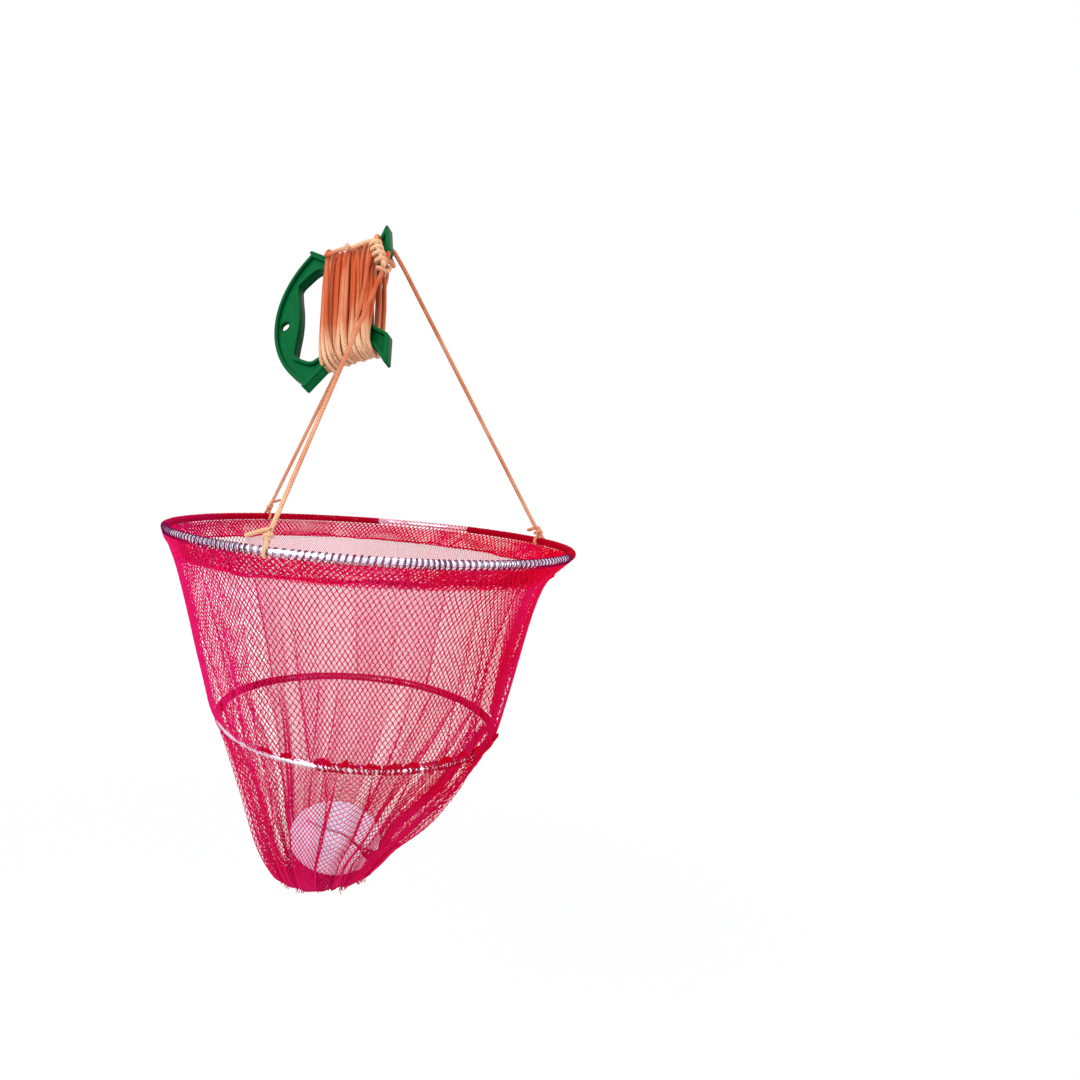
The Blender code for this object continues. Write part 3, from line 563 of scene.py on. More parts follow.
def stage_material(name, white):
    """Pale floor that shows nearly white to the camera and keeps a soft shadow."""
    n = Nodes(name)
    n.plain(Base_Color=(0.86, 0.86, 0.87), Roughness=0.9, Specular_IOR_Level=0.1)
    out = next(x for x in n.tree.nodes if x.type == "OUTPUT_MATERIAL")
    glow = n.add("ShaderNodeEmission")
    far = n.add("ShaderNodeVectorMath", operation="LENGTH")
    n.link(n.coords(), far.inputs[0])
    fade = n.add("ShaderNodeMapRange")
    for key, value in (("From Min", 0.35), ("From Max", 1.5), ("To Min", white), ("To Max", 1.0)):
        fade.inputs[key].default_value = value
    n.link(far.outputs["Value"], fade.inputs["Value"])
    blend = n.add("ShaderNodeMixShader")
    n.link(n.math("MULTIPLY", background_rays(n.tree), fade.outputs["Result"]), blend.inputs[0])
    n.link(n.shader.outputs[0], blend.inputs[1])
    n.link(glow.outputs[0], blend.inputs[2])
    n.link(blend.outputs[0], out.inputs["Surface"])
    return n.material


# Geometry Nodes


def strand_tree():
    """Node tree that gives every edge line of a net its round strand."""
    tree = bpy.data.node_groups.new("net_strands", "GeometryNodeTree")
    for name, way, kind in (("Geometry", "INPUT", "Geometry"), ("Strand Diameter", "INPUT", "Float"),
                            ("Strand Sides", "INPUT", "Int"), ("Netting", "INPUT", "Material"),
                            ("Geometry", "OUTPUT", "Geometry")):
        tree.interface.new_socket(name, in_out=way, socket_type="NodeSocket" + kind)
    given, made, lines, half, ring, tube, smooth, real, paint = (tree.nodes.new(kind) for kind in (
        "NodeGroupInput", "NodeGroupOutput", "GeometryNodeMeshToCurve", "ShaderNodeMath",
        "GeometryNodeCurvePrimitiveCircle", "GeometryNodeCurveToMesh", "GeometryNodeSetShadeSmooth",
        "GeometryNodeRealizeInstances", "GeometryNodeSetMaterial"))
    half.operation = "MULTIPLY"
    half.inputs[1].default_value = 0.5
    for source, leaves, target, enters in (
            (given, "Geometry", lines, "Mesh"), (given, "Strand Diameter", half, 0), (half, 0, ring, "Radius"),
            (given, "Strand Sides", ring, "Resolution"), (lines, "Curve", tube, "Curve"),
            (ring, "Curve", tube, "Profile Curve"), (tube, "Mesh", smooth, "Geometry"),
            (smooth, "Geometry", real, "Geometry"), (real, "Geometry", paint, "Geometry"),
            (given, "Netting", paint, "Material"), (paint, "Geometry", made, "Geometry")):
        tree.links.new(source.outputs[leaves], target.inputs[enters])
    return tree


def grown(name, source, tree, values):
    """Runs a node tree on a source object and keeps the result as a plain mesh object."""
    step = source.modifiers.new("grow", "NODES")
    step.node_group = tree
    inputs = {s.name: s.identifier for s in tree.interface.items_tree if s.in_out == "INPUT"}
    for key, value in values.items():
        step[inputs[key]] = value
    mesh = evaluated_mesh(source)
    mesh.name = name
    bpy.data.objects.remove(source)
    return linked(name, mesh)


def strands(name, lines, skin, diameter, sides=None):
    """Netting strands along many polylines; lines is an array (line, point, xyz) in metres."""
    lines = np.asarray(lines, float)
    count, points = lines.shape[:2]
    first = np.arange(count)[:, None] * points + np.arange(points - 1)[None, :]
    edges = np.stack([first.ravel(), first.ravel() + 1], axis=1)
    mesh = bpy.data.meshes.new(name + "_lines")
    mesh.vertices.add(count * points)
    mesh.vertices.foreach_set("co", lines.reshape(-1).astype(np.float32))
    mesh.edges.add(len(edges))
    mesh.edges.foreach_set("vertices", edges.reshape(-1).astype(np.int32))
    mesh.update()
    tree = bpy.data.node_groups.get("net_strands") or strand_tree()
    return grown(name, linked(name + "_lines", mesh), tree, {
        "Strand Diameter": diameter,
        "Strand Sides": sides or bpy.context.scene.hoop_net_netting.sides,
        "Netting": skin,
    })


# Netting laid on the bag


class Pleats:
    """Soft folds that run down the bag; each has its place round it, depth, width and lean."""

    # Shares of the spacing, depth and width that a fold may have, and of the folds that stand outwards and how far
    SCATTER, DEPTHS, WIDTHS = (-0.33, 0.33), (0.35, 1.65), (0.7, 1.35)
    OUTWARD_SHARE, OUTWARD = 0.22, -0.4
    # Reach in radians of a cluster and of the seam, which keeps the netting beside it nearly flat
    CLUSTER_REACH, SEAM_REACH, SEAM_HOLD = 0.5, 0.13, 0.8
    # Slow waves round the bag: number and height
    WAVES = ((5, 1.3), (8, 0.9), (13, 0.6))

    def __init__(self, seed, count, depth, width=2.3, clusters=()):
        rng = np.random.default_rng(seed)
        spread = 2 * math.pi * (np.arange(count) + rng.uniform(*self.SCATTER, count)) / count
        for middle, pull in clusters:
            off = (spread - math.radians(middle) + math.pi) % (2 * math.pi) - math.pi
            spread = spread - pull * off * np.exp(-(off / self.CLUSTER_REACH) ** 2)
        self.place = np.sort(spread % (2 * math.pi))
        self.depth = depth * rng.uniform(*self.DEPTHS, count)
        self.depth[rng.random(count) < self.OUTWARD_SHARE] *= self.OUTWARD
        seam = (self.place - math.radians(SEAM_AZIMUTH) + math.pi) % (2 * math.pi) - math.pi
        self.depth *= 1.0 - self.SEAM_HOLD * np.exp(-(seam / self.SEAM_REACH) ** 2)
        self.width = width * rng.uniform(*self.WIDTHS, count)
        self.lean = rng.uniform(-1.1, 1.1, count)
        self.drift = rng.uniform(-1.0, 1.0, count)
        self.wander = rng.uniform(0.0, 2 * math.pi, (3, 2))

    def ring(self, radius, share, slide, columns, wanted):
        """Points (x, y) at the wanted columns of a ring whose folds have a share of their depth."""
        samples = 3000
        turn = np.linspace(0.0, 2 * math.pi, samples, endpoint=False)
        place = self.place + self.drift * slide
        r = np.full(samples, float(radius))
        for (number, height), (shift, turned) in zip(self.WAVES, self.wander):
            r += share * height * np.sin(number * turn + shift + turned * share)
        swing = np.zeros(samples)
        for j, middle in enumerate(place):
            off = ((turn - middle + math.pi) % (2 * math.pi) - math.pi) * radius
            near = np.exp(-(off / self.width[j]) ** 2)
            r -= self.depth[j] * share * near
            swing += abs(self.depth[j]) * share * self.lean[j] * near / radius
        r = np.maximum(r, 0.45 * radius)
        x, y = r * np.cos(turn + swing), r * np.sin(turn + swing)
        x, y = np.append(x, x[0]), np.append(y, y[0])
        along = lengths(np.stack([x, y], axis=1))
        # Each fold keeps its own column at its tip, and the columns between share the length evenly
        full = 2 * math.pi
        tips = np.interp(place % full, np.append(turn, full), along)
        order = np.argsort(tips)
        tips = tips[order]
        named = np.unwrap(self.place[order]) * columns / full
        tips = np.concatenate([tips - along[-1], tips, tips + along[-1]])
        named = np.concatenate([named - columns, named, named + columns])
        at = np.interp(wanted, named, tips) % along[-1]
        return np.interp(at, along, x), np.interp(at, along, y)


def wales_round():
    """Lines of stitches round the bag, two for each cell."""
    return bpy.context.scene.hoop_net_netting.cells_round * 2


def in_arc(turn, start, end):
    """Whether each turn in degrees lies from start round to end."""
    return (turn - start) % 360.0 <= (end - start) % 360.0


class NetSurface:
    """A pleated bag surface: a meridian, its folds, how deep they are down it, and from where it tilts how far."""

    def __init__(self, profile, pleats, shares, tilt=0.0, tilt_from=0.5):
        self.line = smooth_line(profile, 24)
        self.along = lengths(self.line[:, :2])
        self.pleats, self.shares = pleats, shares
        self.tilt, self.tilt_from = tilt, tilt_from
        self.length = self.along[-1]

    def at(self, t, columns):
        """Points (x, y, z) in millimetres from the hoops' axis at a length t down the meridian."""
        t = min(max(t, 0.0), self.length)
        drop, radius, lean = (float(np.interp(t, self.along, self.line[:, k])) for k in range(3))
        part = t / self.length
        share = float(np.interp(part, [s[0] for s in self.shares], [s[1] for s in self.shares]))
        x, y = self.pleats.ring(radius, share, part * 0.05, wales_round(), columns)
        low = max(0.0, (part - self.tilt_from) / (1.0 - self.tilt_from))
        return np.stack([x + lean, y, -drop + self.tilt * low * x], axis=-1)


def drawn_together(wales, even):
    """Columns of wales that lean to a neighbour, the even ones forwards and the others back."""
    return np.where(even, wales + 0.5 - PAIR_GAP, wales - 0.5 + PAIR_GAP)


def wandered(wales):
    """How far each wale has wandered sideways at the end of its surface, in wales."""
    return WANDER * np.sin(2 * math.pi * wales / wales_round() * 3)


def net_lines(surface, first_wale, last_wale, seed, jitter=0.06, phase=0, pitch=None):
    """Wale polylines (line, point, xyz) of hexagonal netting laid on a pleated surface."""
    rows = max(2, int(round(surface.length / (pitch or bpy.context.scene.hoop_net_netting.row_pitch / MM))))
    pitch = surface.length / rows
    w = np.arange(first_wale, last_wale)
    rng = np.random.default_rng(seed + first_wale)
    drift = wandered(w)
    out = np.zeros((len(w), 2 * rows + 2, 3))
    for k in range(rows + 1):
        column = drawn_together(w, (w + k + phase) % 2 == 0)
        for i, side in enumerate((-1, 1)):
            t = min(max(pitch * (k + side * JOINT / 2), 0.0), surface.length)
            out[:, 2 * k + i] = surface.at(t, column + drift * (t / surface.length)) + CENTRE_MM
    return (out + rng.normal(0.0, jitter, out.shape)) * MM


UPPER_PLEATS = Pleats(11, 26, 4.2, clusters=((250.0, 0.25), (20.0, 0.3)))
LOWER_PLEATS = Pleats(23, 30, 8.6, width=2.5, clusters=((268.0, 0.45), (330.0, 0.3)))
HEM_PLEATS = Pleats(31, 30, 1.5, width=2.6)
PLAIN_RING = Pleats(41, 24, 0.0)
UPPER_SURFACE = NetSurface(UPPER_WALL, UPPER_PLEATS, ((0.0, 0.0), (0.16, 0.06), (0.45, 0.4), (1.0, 1.0)))
LOWER_SURFACE = NetSurface(LOWER_WALL, LOWER_PLEATS, ((0.0, 0.25), (0.2, 0.7), (0.55, 1.0), (0.8, 0.62), (1.0, 0.32)),
                           tilt=BAG_TILT, tilt_from=0.45)
# The end of the bag is tilted all over, so its tilt starts far above it
END_SURFACE = NetSurface(BAG_END, LOWER_PLEATS, ((0.0, 0.32), (0.25, 0.3), (0.5, 0.24), (0.72, 0.08), (1.0, 0.12)),
                         tilt=BAG_TILT, tilt_from=-1000.0)


def netting_pieces(name, surface, skin, seed, runs):
    """Bag netting in pieces side by side, each with the share of the round that it takes."""
    wales, strand = wales_round(), bpy.context.scene.hoop_net_netting.strand
    for letter, (a, b, share, nets) in zip("abcdef", runs):
        first, last = round(a / 360.0 * wales), round(b / 360.0 * wales)
        lines = [net_lines(surface, first, last, seed=seed + i, phase=i) for i in range(nets)]
        yield strands(name + letter, np.concatenate(lines), skin, share * strand), (last - first) / wales


def make_upper_netting():
    """The bag between the hoops."""
    # Its blush is painted light: a pinker copy of the netting
    skin = netting_material("upper_netting_knit", blush=0.30)
    for piece, part in netting_pieces("upper_netting_", UPPER_SURFACE, skin, 5, UPPER_RUNS):
        if piece.name.endswith("a"):
            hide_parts("upper_net_wall")
        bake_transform(piece)


def make_lower_netting():
    """The bag below the lower hoop."""
    # Its blush is painted light: a pinker copy of the netting
    skin = netting_material("lower_netting_knit", blush=0.16)
    for piece, part in netting_pieces("lower_netting_", LOWER_SURFACE, skin, 8, LOWER_RUNS):
        if piece.name.endswith("a"):
            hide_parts("lower_net_wall")
        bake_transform(piece)


def twisted_roll(centre, count, radius, pitch, seed):
    """Strand lines twisted together round a closed centre line in millimetres; radius may vary along it."""
    rng = np.random.default_rng(seed)
    centre = np.vstack([centre, centre[:1]])
    ahead = np.roll(centre[:-1], -1, axis=0) - np.roll(centre[:-1], 1, axis=0)
    ahead = np.vstack([ahead, ahead[:1]])
    ahead /= np.linalg.norm(ahead, axis=1)[:, None]
    out = np.cross(ahead, (0.0, 0.0, 1.0))
    out /= np.linalg.norm(out, axis=1)[:, None]
    up = np.cross(out, ahead)
    along = lengths(centre)
    turns = max(1, round(along[-1] / pitch))
    lines = []
    for i in range(count):
        wander = sum(rng.uniform(0.2, 0.5) * np.sin(k * 2 * math.pi * along / along[-1] + rng.uniform(0, 6.3))
                     for k in (9, 23, 41))
        turn = 2 * math.pi * (turns * along / along[-1] + i / count) + wander
        lines.append(centre + (out * np.cos(turn)[:, None] + up * np.sin(turn)[:, None])
                     * (radius * (1.0 + 0.25 * np.sin(turn * 0.37 + i)))[:, None])
    return (np.array(lines) + CENTRE_MM) * MM


def over_wire_pairs(surface, start, end, wales):
    """Wales drawn straight over the wire two by two, so that the wire shows as a bead between each pair."""
    columns, drift = drawn_together(wales, wales % 2 == 0), wandered(wales)
    rows = [surface.at(t, columns + drift * t / surface.length) for t in np.linspace(start, end, 12)]
    return (np.stack(rows, axis=1) + CENTRE_MM) * MM


def wire_binding(start, end, radius, count, pitch, seed):
    """Strands bunched round the upper wire from one angle to another in degrees, as close turns."""
    rng = np.random.default_rng(seed)
    reach = math.radians(end - start) * UPPER_HOOP_R
    along = np.linspace(0.0, 1.0, int(reach / pitch * 12))
    turn = np.radians(start + (end - start) * along)
    lines = []
    for i in range(count):
        spin = 2 * math.pi * (reach / pitch * along + i / count)
        r = UPPER_HOOP_R + radius * np.cos(spin)
        lines.append(np.stack([r * np.cos(turn), r * np.sin(turn), radius * np.sin(spin)], axis=-1))
    lines = np.array(lines)
    return (lines + rng.normal(0.0, 0.08, lines.shape) + CENTRE_MM) * MM


def round_wire(angles, clearance, drop, radius):
    """Meridian points round a hoop's wire at some angles in degrees."""
    wrap = WIRE_R + clearance
    turns = [math.radians(angle) for angle in angles]
    return [(drop - wrap * math.sin(turn), radius + wrap * math.cos(turn), 0.0) for turn in turns]


def hem_edge_rolls(surface):
    """The strands rolled up along both edges of the hem, fullest in front."""
    count = 1080
    turn = np.linspace(0.0, 2 * math.pi, count, endpoint=False)
    front = np.exp(-((turn - math.radians(300.0)) / 0.55) ** 2)
    dip = 0.7 * np.sin(7 * turn + 0.6) + 0.5 * np.sin(17 * turn + 2.0) + 0.3 * np.sin(31 * turn) + 1.2 + 3.4 * front
    columns = np.arange(count) * wales_round() / count
    rolls = []
    for at, lift, thick, seed, ply in ((0.4, 0.2, 0.40, 3, 4), (surface.length - 0.4, -0.3, 0.30, 4, 3)):
        centre = surface.at(at, columns)
        centre[:, 2] += dip - 0.4
        centre[:, :2] *= (1.0 + lift / np.hypot(centre[:, 0], centre[:, 1]))[:, None]
        radius = thick * (1.0 + 0.9 * front + 0.25 * np.sin(11 * turn))
        rolls.append(twisted_roll(centre, ply, np.append(radius, radius[0]), 9.0, seed))
    return np.concatenate(rolls)


def make_mouth_hem():
    """The netting folded over the upper hoop, with its lower edges rolled and stitched down."""
    # Painted light: the hem is a lighter copy of the netting
    skin = netting_material("mouth_hem_knit", 1.18, blush=0.02)
    over = round_wire((-30, 20, 70, 110, 160, 210), HEM_CLEARANCE, 0.0, UPPER_HOOP_R)
    surface = NetSurface([*HEM_OUTSIDE, *over, *HEM_INSIDE], HEM_PLEATS,
                         ((0.0, 1.0), (0.3, 0.35), (0.42, 0.0), (0.62, 0.0), (0.8, 0.4), (1.0, 1.0)))
    wales = wales_round()
    lines = net_lines(surface, 0, wales, seed=15, phase=1, pitch=2.4)
    near_wire = np.flatnonzero(HOOP_CENTRE.z - lines[0, :, 2] < 3.2 * MM)
    first, last = near_wire[0] - 1, near_wire[-1] + 2
    span = surface.length / (lines.shape[1] - 1)
    shown = in_arc(np.arange(wales) * 360.0 / wales, 190.0, 336.0)
    pairs = over_wire_pairs(surface, span * first, span * (last - 1), np.flatnonzero(shown))
    # Painted shade: the strands over the wire are a near-black purple copy of the netting
    shaded_over_wire_knit = netting_material("mouth_hem_over_wire_knit", colour=(0.17, 0.006, 0.075))
    for name, part, thick, paint in (("outside", lines[:, :first + 1], 0.00092, skin),
                                     ("over_wire", pairs, 0.00056, shaded_over_wire_knit),
                                     ("over_back_wire", lines[~shown, first:last], 0.00056, skin),
                                     ("inside", lines[:, last - 1:], 0.00098, skin)):
        piece = strands("mouth_hem_" + name, part, paint, thick)
        if name == "outside":
            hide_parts("mouth_hem")
        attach(piece, "upper_net")
    # Painted shade: the bunched netting at the back and the rolled edges are darker, redder copies of the netting
    shaded_back_knit = netting_material("mouth_hem_back_knit", 0.58, blush=-0.4)
    dark = netting_material("hem_edge_roll", 0.88, blush=-0.1)
    for name, rolled, paint, thick in (
            ("bunched_right", wire_binding(-25.0, 52.0, WIRE_R + HEM_CLEARANCE, 4, 3.4, 59), shaded_back_knit, 0.00094),
            ("bunched_back", wire_binding(86.0, 192.0, WIRE_R + HEM_CLEARANCE, 4, 3.4, 59), shaded_back_knit, 0.00094),
            ("edge", hem_edge_rolls(surface), dark, 0.00066)):
        piece = strands("mouth_hem_" + name, rolled, paint, thick, sides=4)
        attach(piece, "upper_net")


def make_hoop_casing():
    """The netting drawn tight round the lower hoop: close nearly all round, thin where the wire shines through."""
    # Painted shade: the close casing is a darker, redder copy of the netting
    skin = netting_material("hoop_casing_knit", 0.74, blush=-0.45)
    profile = round_wire(range(150, -211, -20), CASING_CLEARANCE, HOOP_DROP, LOWER_HOOP_R)
    surface = NetSurface(profile, PLAIN_RING, ((0.0, 0.0), (1.0, 0.0)))
    wales = wales_round()
    lines = net_lines(surface, 0, wales, seed=19, jitter=0.03, pitch=1.3)
    place = np.arange(wales) * 360.0 / wales
    bare = in_arc(place, 192.0, 256.0) | (in_arc(place, 256.0, 322.0) & (np.sin(place * 3.1) > 0.1))
    close = strands("lower_hoop_casing_close", lines[~bare], skin, 0.00128)
    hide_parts("lower_hoop_casing")
    # Painted light: the thin strands are a lighter, pinker copy of the netting
    light = netting_material("hoop_casing_thin_knit", 0.9, blush=0.3)
    thin = strands("lower_hoop_casing_thin", lines[bare][::2], light, 0.00032)
    # Painted shade: the puckers are a darker, redder copy of the netting
    ruffled = netting_material("pucker_knit", 0.82, blush=-0.45)
    ruffle = strands("lower_hoop_puckers", pucker_lines(), ruffled, 0.00080)
    for piece in (close, thin, ruffle):
        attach(piece, "lower_net")


def pucker_lines():
    """Strands of the low ruffles where the wall is gathered on to the lower hoop."""
    rng = np.random.default_rng(77)
    t = np.linspace(0.0, 1.0, 13)
    lines = []
    for middle, tall in PUCKERS:
        half = rng.uniform(4.6, 6.4)
        for i in range(38):
            place = rng.uniform(-1.0, 1.0)
            height = 1.25 * tall * (1.0 - 0.75 * place * place) * rng.uniform(0.75, 1.12)
            off = place * half + 0.5 * np.sin(5.0 * t + i)
            # The wall's radius from a little above the hoop down to it, and the strand's bulge out of it
            r = np.interp(HOOP_DROP - height * t, [134.0, 141.4], [112.4, 109.8]) + 1.9 * np.sin(math.pi * t ** 0.8)
            turn = math.radians(middle) + off / r
            z = -(HOOP_DROP - 2.6 - height * np.sin(2.2 * t))
            lines.append(np.stack([r * np.cos(turn), r * np.sin(turn), z], axis=-1))
    lines = np.array(lines) + rng.normal(0.0, 0.07, (len(lines), len(t), 3))
    return (lines + CENTRE_MM) * MM


def slab(name, outer, inner, skin):
    """A closed band from an outer and an inner grid of points (row, column, xyz) in metres."""
    rows, columns = outer.shape[:2]
    verts = np.concatenate([outer.reshape(-1, 3), inner.reshape(-1, 3)])
    total = rows * columns
    faces = []
    for i in range(rows - 1):
        for j in range(columns - 1):
            a = i * columns + j
            faces.append((a, a + columns, a + columns + 1, a + 1))
            faces.append((total + a, total + a + 1, total + a + columns + 1, total + a + columns))
    edge = [i * columns for i in range(rows)] + [(rows - 1) * columns + j for j in range(1, columns)]
    edge += [i * columns + columns - 1 for i in range(rows - 2, -1, -1)] + list(range(columns - 2, 0, -1))
    for a, b in zip(edge, edge[1:] + edge[:1]):
        faces.append((a, total + a, total + b, b))
    return outward(mesh_object(name, verts, faces, skin=skin))


def seam_band(name, surface, start, end, skin):
    """The doubled side seam: a close ribbed band that follows the netting it joins, and its edge stitches."""
    wales = wales_round()
    middle = SEAM_AZIMUTH / 360.0 * wales
    rows = int((end - start) / SEAM_STEP)
    across = np.linspace(-1.0, 1.0, SEAM_COLUMNS)
    bulge = 0.55 * (1.0 - across ** 2)
    outer, inner, edges = [], [], [[], []]
    for i in range(rows + 1):
        t = start + (end - start) * i / rows
        radius = float(np.interp(t, surface.along, surface.line[:, 1]))
        half = (SEAM_WIDTH / 2 + 0.35 * math.sin(t * 0.61) + 0.25 * math.sin(t * 2.3)) / (2 * math.pi * radius / wales)
        p = surface.at(t, middle + np.linspace(-half, half, SEAM_COLUMNS))
        away = p[:, :2] / np.hypot(p[:, 0], p[:, 1])[:, None]
        rib = 0.28 * abs(math.sin(math.pi * t / 1.05)) + 0.12 * np.sin(5.0 * across + 0.8 * t)
        top, low = p.copy(), p.copy()
        top[:, :2] += away * (0.75 + bulge + rib)[:, None]
        low[:, :2] += away * 0.25
        outer.append(top)
        inner.append(low)
        swing = 2 * math.pi * t / SEAM_STITCH
        # The first edge's stitch sways across the band, the last edge's only in and out
        for k, j, beside in ((0, 0, 1), (1, -1, -1)):
            spot = top[j] + (top[j] - top[beside]) * (0.9 * math.sin(swing) / 3.0)
            spot[:2] += away[j] * (0.25 + 0.3 * math.cos(swing))
            edges[k].append(spot)
    outer, inner = (np.array(g) + CENTRE_MM for g in (outer, inner))
    band = slab(name, outer * MM, inner * MM, skin)
    stitches = strands(name + "_stitches", (np.array(edges) + CENTRE_MM) * MM, skin, 0.0008, sides=4)
    return band, stitches


def make_side_seams():
    """The side seam above and below the lower hoop."""
    # Painted shade: the seam is a darker copy of the netting without blush
    skin = netting_material("side_seam_knit", 0.92, blush=-0.6)
    for name, node, surface, start, end, bodies, drops in (
            ("side_seam_upper_band", "side_seam_upper", UPPER_SURFACE, 1.0, UPPER_SURFACE.length - 1.5,
             ("upper_net", "lower_net"), (30.0, 138.0)),
            ("side_seam_lower_band", "side_seam_lower", LOWER_SURFACE, 3.0, LOWER_SURFACE.length,
             ("lower_net", "bag_end"), (148.0, 266.0))):
        for piece in seam_band(name, surface, start, end, skin):
            if piece.name == name:
                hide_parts(node)
            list(bodies)
            tuple(on_net(0, 0, drops[0]))
            tuple(on_net(0, 0, drops[1]))
            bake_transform(piece)


def frayed_netting(rng):
    """The netting lines of the bag's end, gathered to the neck, with the last rows frayed."""
    wales = wales_round()
    lines = net_lines(END_SURFACE, 0, wales, seed=29, jitter=0.10, pitch=3.0)
    neck_row = lines.shape[1] - FRAYED_ROWS
    fray = np.clip((np.arange(lines.shape[1]) - neck_row) / (FRAYED_ROWS - 1.0), 0.0, 1.0)[None, :, None]
    stray = rng.normal(0.0, 1.0, (wales, 1, 3)) * (0.0016, 0.0016, 0.0009)
    keep = rng.uniform(0.25, 1.0, (wales, 1, 1))
    neck = lines[:, neck_row:neck_row + 1]
    return np.where(fray > 0, neck + (lines - neck) * keep + stray * fray, lines)


def loose_tips(rng):
    """Short frayed ends in tufts under the bag."""
    steps = np.linspace(0.0, 1.0, 9)[:, None]
    tips = []
    for turn, r, reach in FRAYED_TIPS:
        for i in range(16):
            a = math.radians(turn + rng.uniform(-7, 7))
            x, y = (r + rng.uniform(-2.5, 2.5)) * math.cos(a), (r + rng.uniform(-2.5, 2.5)) * math.sin(a)
            out = np.array([math.cos(a), math.sin(a)]) * rng.uniform(0.5, 3.0)
            fall = reach * rng.uniform(0.4, 1.0)
            z = -TIPS_DROP + BAG_TILT * x + 4.0 - (4.0 + fall) * steps
            line = np.hstack([np.array([x + TIPS_LEAN, y]) + out * steps + 0.5 * np.sin(6 * steps + i) * steps, z])
            tips.append(line + rng.normal(0.0, 0.12, line.shape))
    return (np.array(tips) + CENTRE_MM) * MM


def neck_tie_route():
    """The cord's way round the bag's neck, with 39 points to a turn."""
    lean, drop, radius, turns, pitch = NECK_TIE
    ring = []
    for i in range(64):
        a = 2 * math.pi * turns * i / 63
        r = radius + 0.2 * math.sin(3 * a)
        ring.append(on_net(lean + r * math.cos(a), r * math.sin(a), drop + pitch * i / 39))
    return ring


def make_bag_end():
    """The bunched end of the bag: netting drawn in to its tied neck, with frayed tips below."""
    # Painted shade: the bag's end is a darker copy of the netting
    skin = netting_material("bag_end_knit", 0.88)
    rng = np.random.default_rng(53)
    piece = strands("bag_end_netting", frayed_netting(rng), skin, 0.00084)
    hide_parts("bag_gather")
    loose = strands("bag_end_loose_tips", loose_tips(rng), skin, 0.0007)
    red = braid_material("neck_tie_cord", colour=(0.55, 0.01, 0.05), pale=(0.86, 0.16, 0.26))
    tie = braided_cord("bottom_tie_cord", neck_tie_route(), red, radius=1.2, sides=12)
    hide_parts("bottom_tie")
    for made, node in ((piece, "bag_gather"), (loose, "bag_gather"), (tie, "bottom_tie")):
        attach(made, "bag_end")


# Cords


def carried_frames(line):
    """Unit ahead, side and cross vectors carried along a line without twist."""
    ahead = np.gradient(line, axis=0)
    ahead /= np.linalg.norm(ahead, axis=1)[:, None]
    side = np.zeros_like(line)
    first = np.cross(ahead[0], (0.31, 0.2, 0.93))
    if np.linalg.norm(first) < 0.15:
        first = np.cross(ahead[0], (1.0, 0.0, 0.0))
    side[0] = first / np.linalg.norm(first)
    for i in range(1, len(line)):
        v = side[i - 1] - ahead[i] * np.dot(side[i - 1], ahead[i])
        side[i] = v / np.linalg.norm(v)
    return ahead, side, np.cross(ahead, side)


def braided_cord(name, line, skin, radius=CORD_R, sides=14, relief=0.0, bleach=0.3):
    """A cord with rounded ends along points in metres; keeps each point's place on the braid and its wear."""
    settings = bpy.context.scene.hoop_net_cord
    line = np.array([tuple(q) for q in line], float)
    wear = np.full(len(line), bleach, float) if np.isscalar(bleach) else np.asarray(bleach, float)
    r = radius * MM
    turn = 2 * math.pi * np.arange(sides) / sides
    ahead, side, cross = carried_frames(line)
    along = lengths(line)
    # Two smaller rings round off each end
    cap = [math.radians(72.0), math.radians(40.0)]
    centre = np.vstack([[line[0] - ahead[0] * r * math.sin(a) for a in cap], line,
                        [line[-1] + ahead[-1] * r * math.sin(a) for a in cap[::-1]]])
    size = np.concatenate([np.cos(cap), np.ones(len(line)), np.cos(cap[::-1])])
    side, cross = (np.pad(v, ((2, 2), (0, 0)), "edge") for v in (side, cross))
    along = np.concatenate([[-0.7 * r, -0.4 * r], along, [along[-1] + 0.4 * r, along[-1] + 0.7 * r]])
    wear = np.pad(wear, 2, "edge")
    plait, slide = settings.strands / 2 * turn[None, :], math.pi * along[:, None] / settings.braid_pitch
    pattern = np.abs(np.sin(plait + slide)) * np.abs(np.sin(plait - slide))
    reach = r * size[:, None] * (1.0 + relief * (pattern - 0.45))
    rings = centre[:, None, :] + reach[:, :, None] * (np.cos(turn)[None, :, None] * side[:, None, :]
                                                      + np.sin(turn)[None, :, None] * cross[:, None, :])
    count = len(centre)
    values = [np.broadcast_to(v, (count, sides)) for v in (np.cos(turn), np.sin(turn), along[:, None])]
    i, j = np.meshgrid(np.arange(count - 1), np.arange(sides), indexing="ij")
    k = (j + 1) % sides
    quads = np.stack([i * sides + j, i * sides + k, (i + 1) * sides + k, (i + 1) * sides + j], axis=-1)
    faces = quads.reshape(-1, 4).tolist()
    first, last, top = count * sides, count * sides + 1, (count - 1) * sides
    for m in range(sides):
        faces += [(first, (m + 1) % sides, m), (last, top + m, top + (m + 1) % sides)]
    verts = np.vstack([rings.reshape(-1, 3), line[0] - ahead[0] * r, line[-1] + ahead[-1] * r])
    braid = np.vstack([np.stack(values, axis=-1).reshape(-1, 3), (1.0, 0.0, along[0]), (1.0, 0.0, along[-1])])
    lightened = np.append(np.repeat(wear, sides), (wear[0], wear[-1]))
    obj = mesh_object(name, verts, faces, skin=skin)
    for key, kind, slot, data in (("braid", "FLOAT_VECTOR", "vector", braid), ("bleach", "FLOAT", "value", lightened)):
        obj.data.attributes.new(key, kind, "POINT").data.foreach_set(slot, data.astype(np.float32).reshape(-1))
    return obj


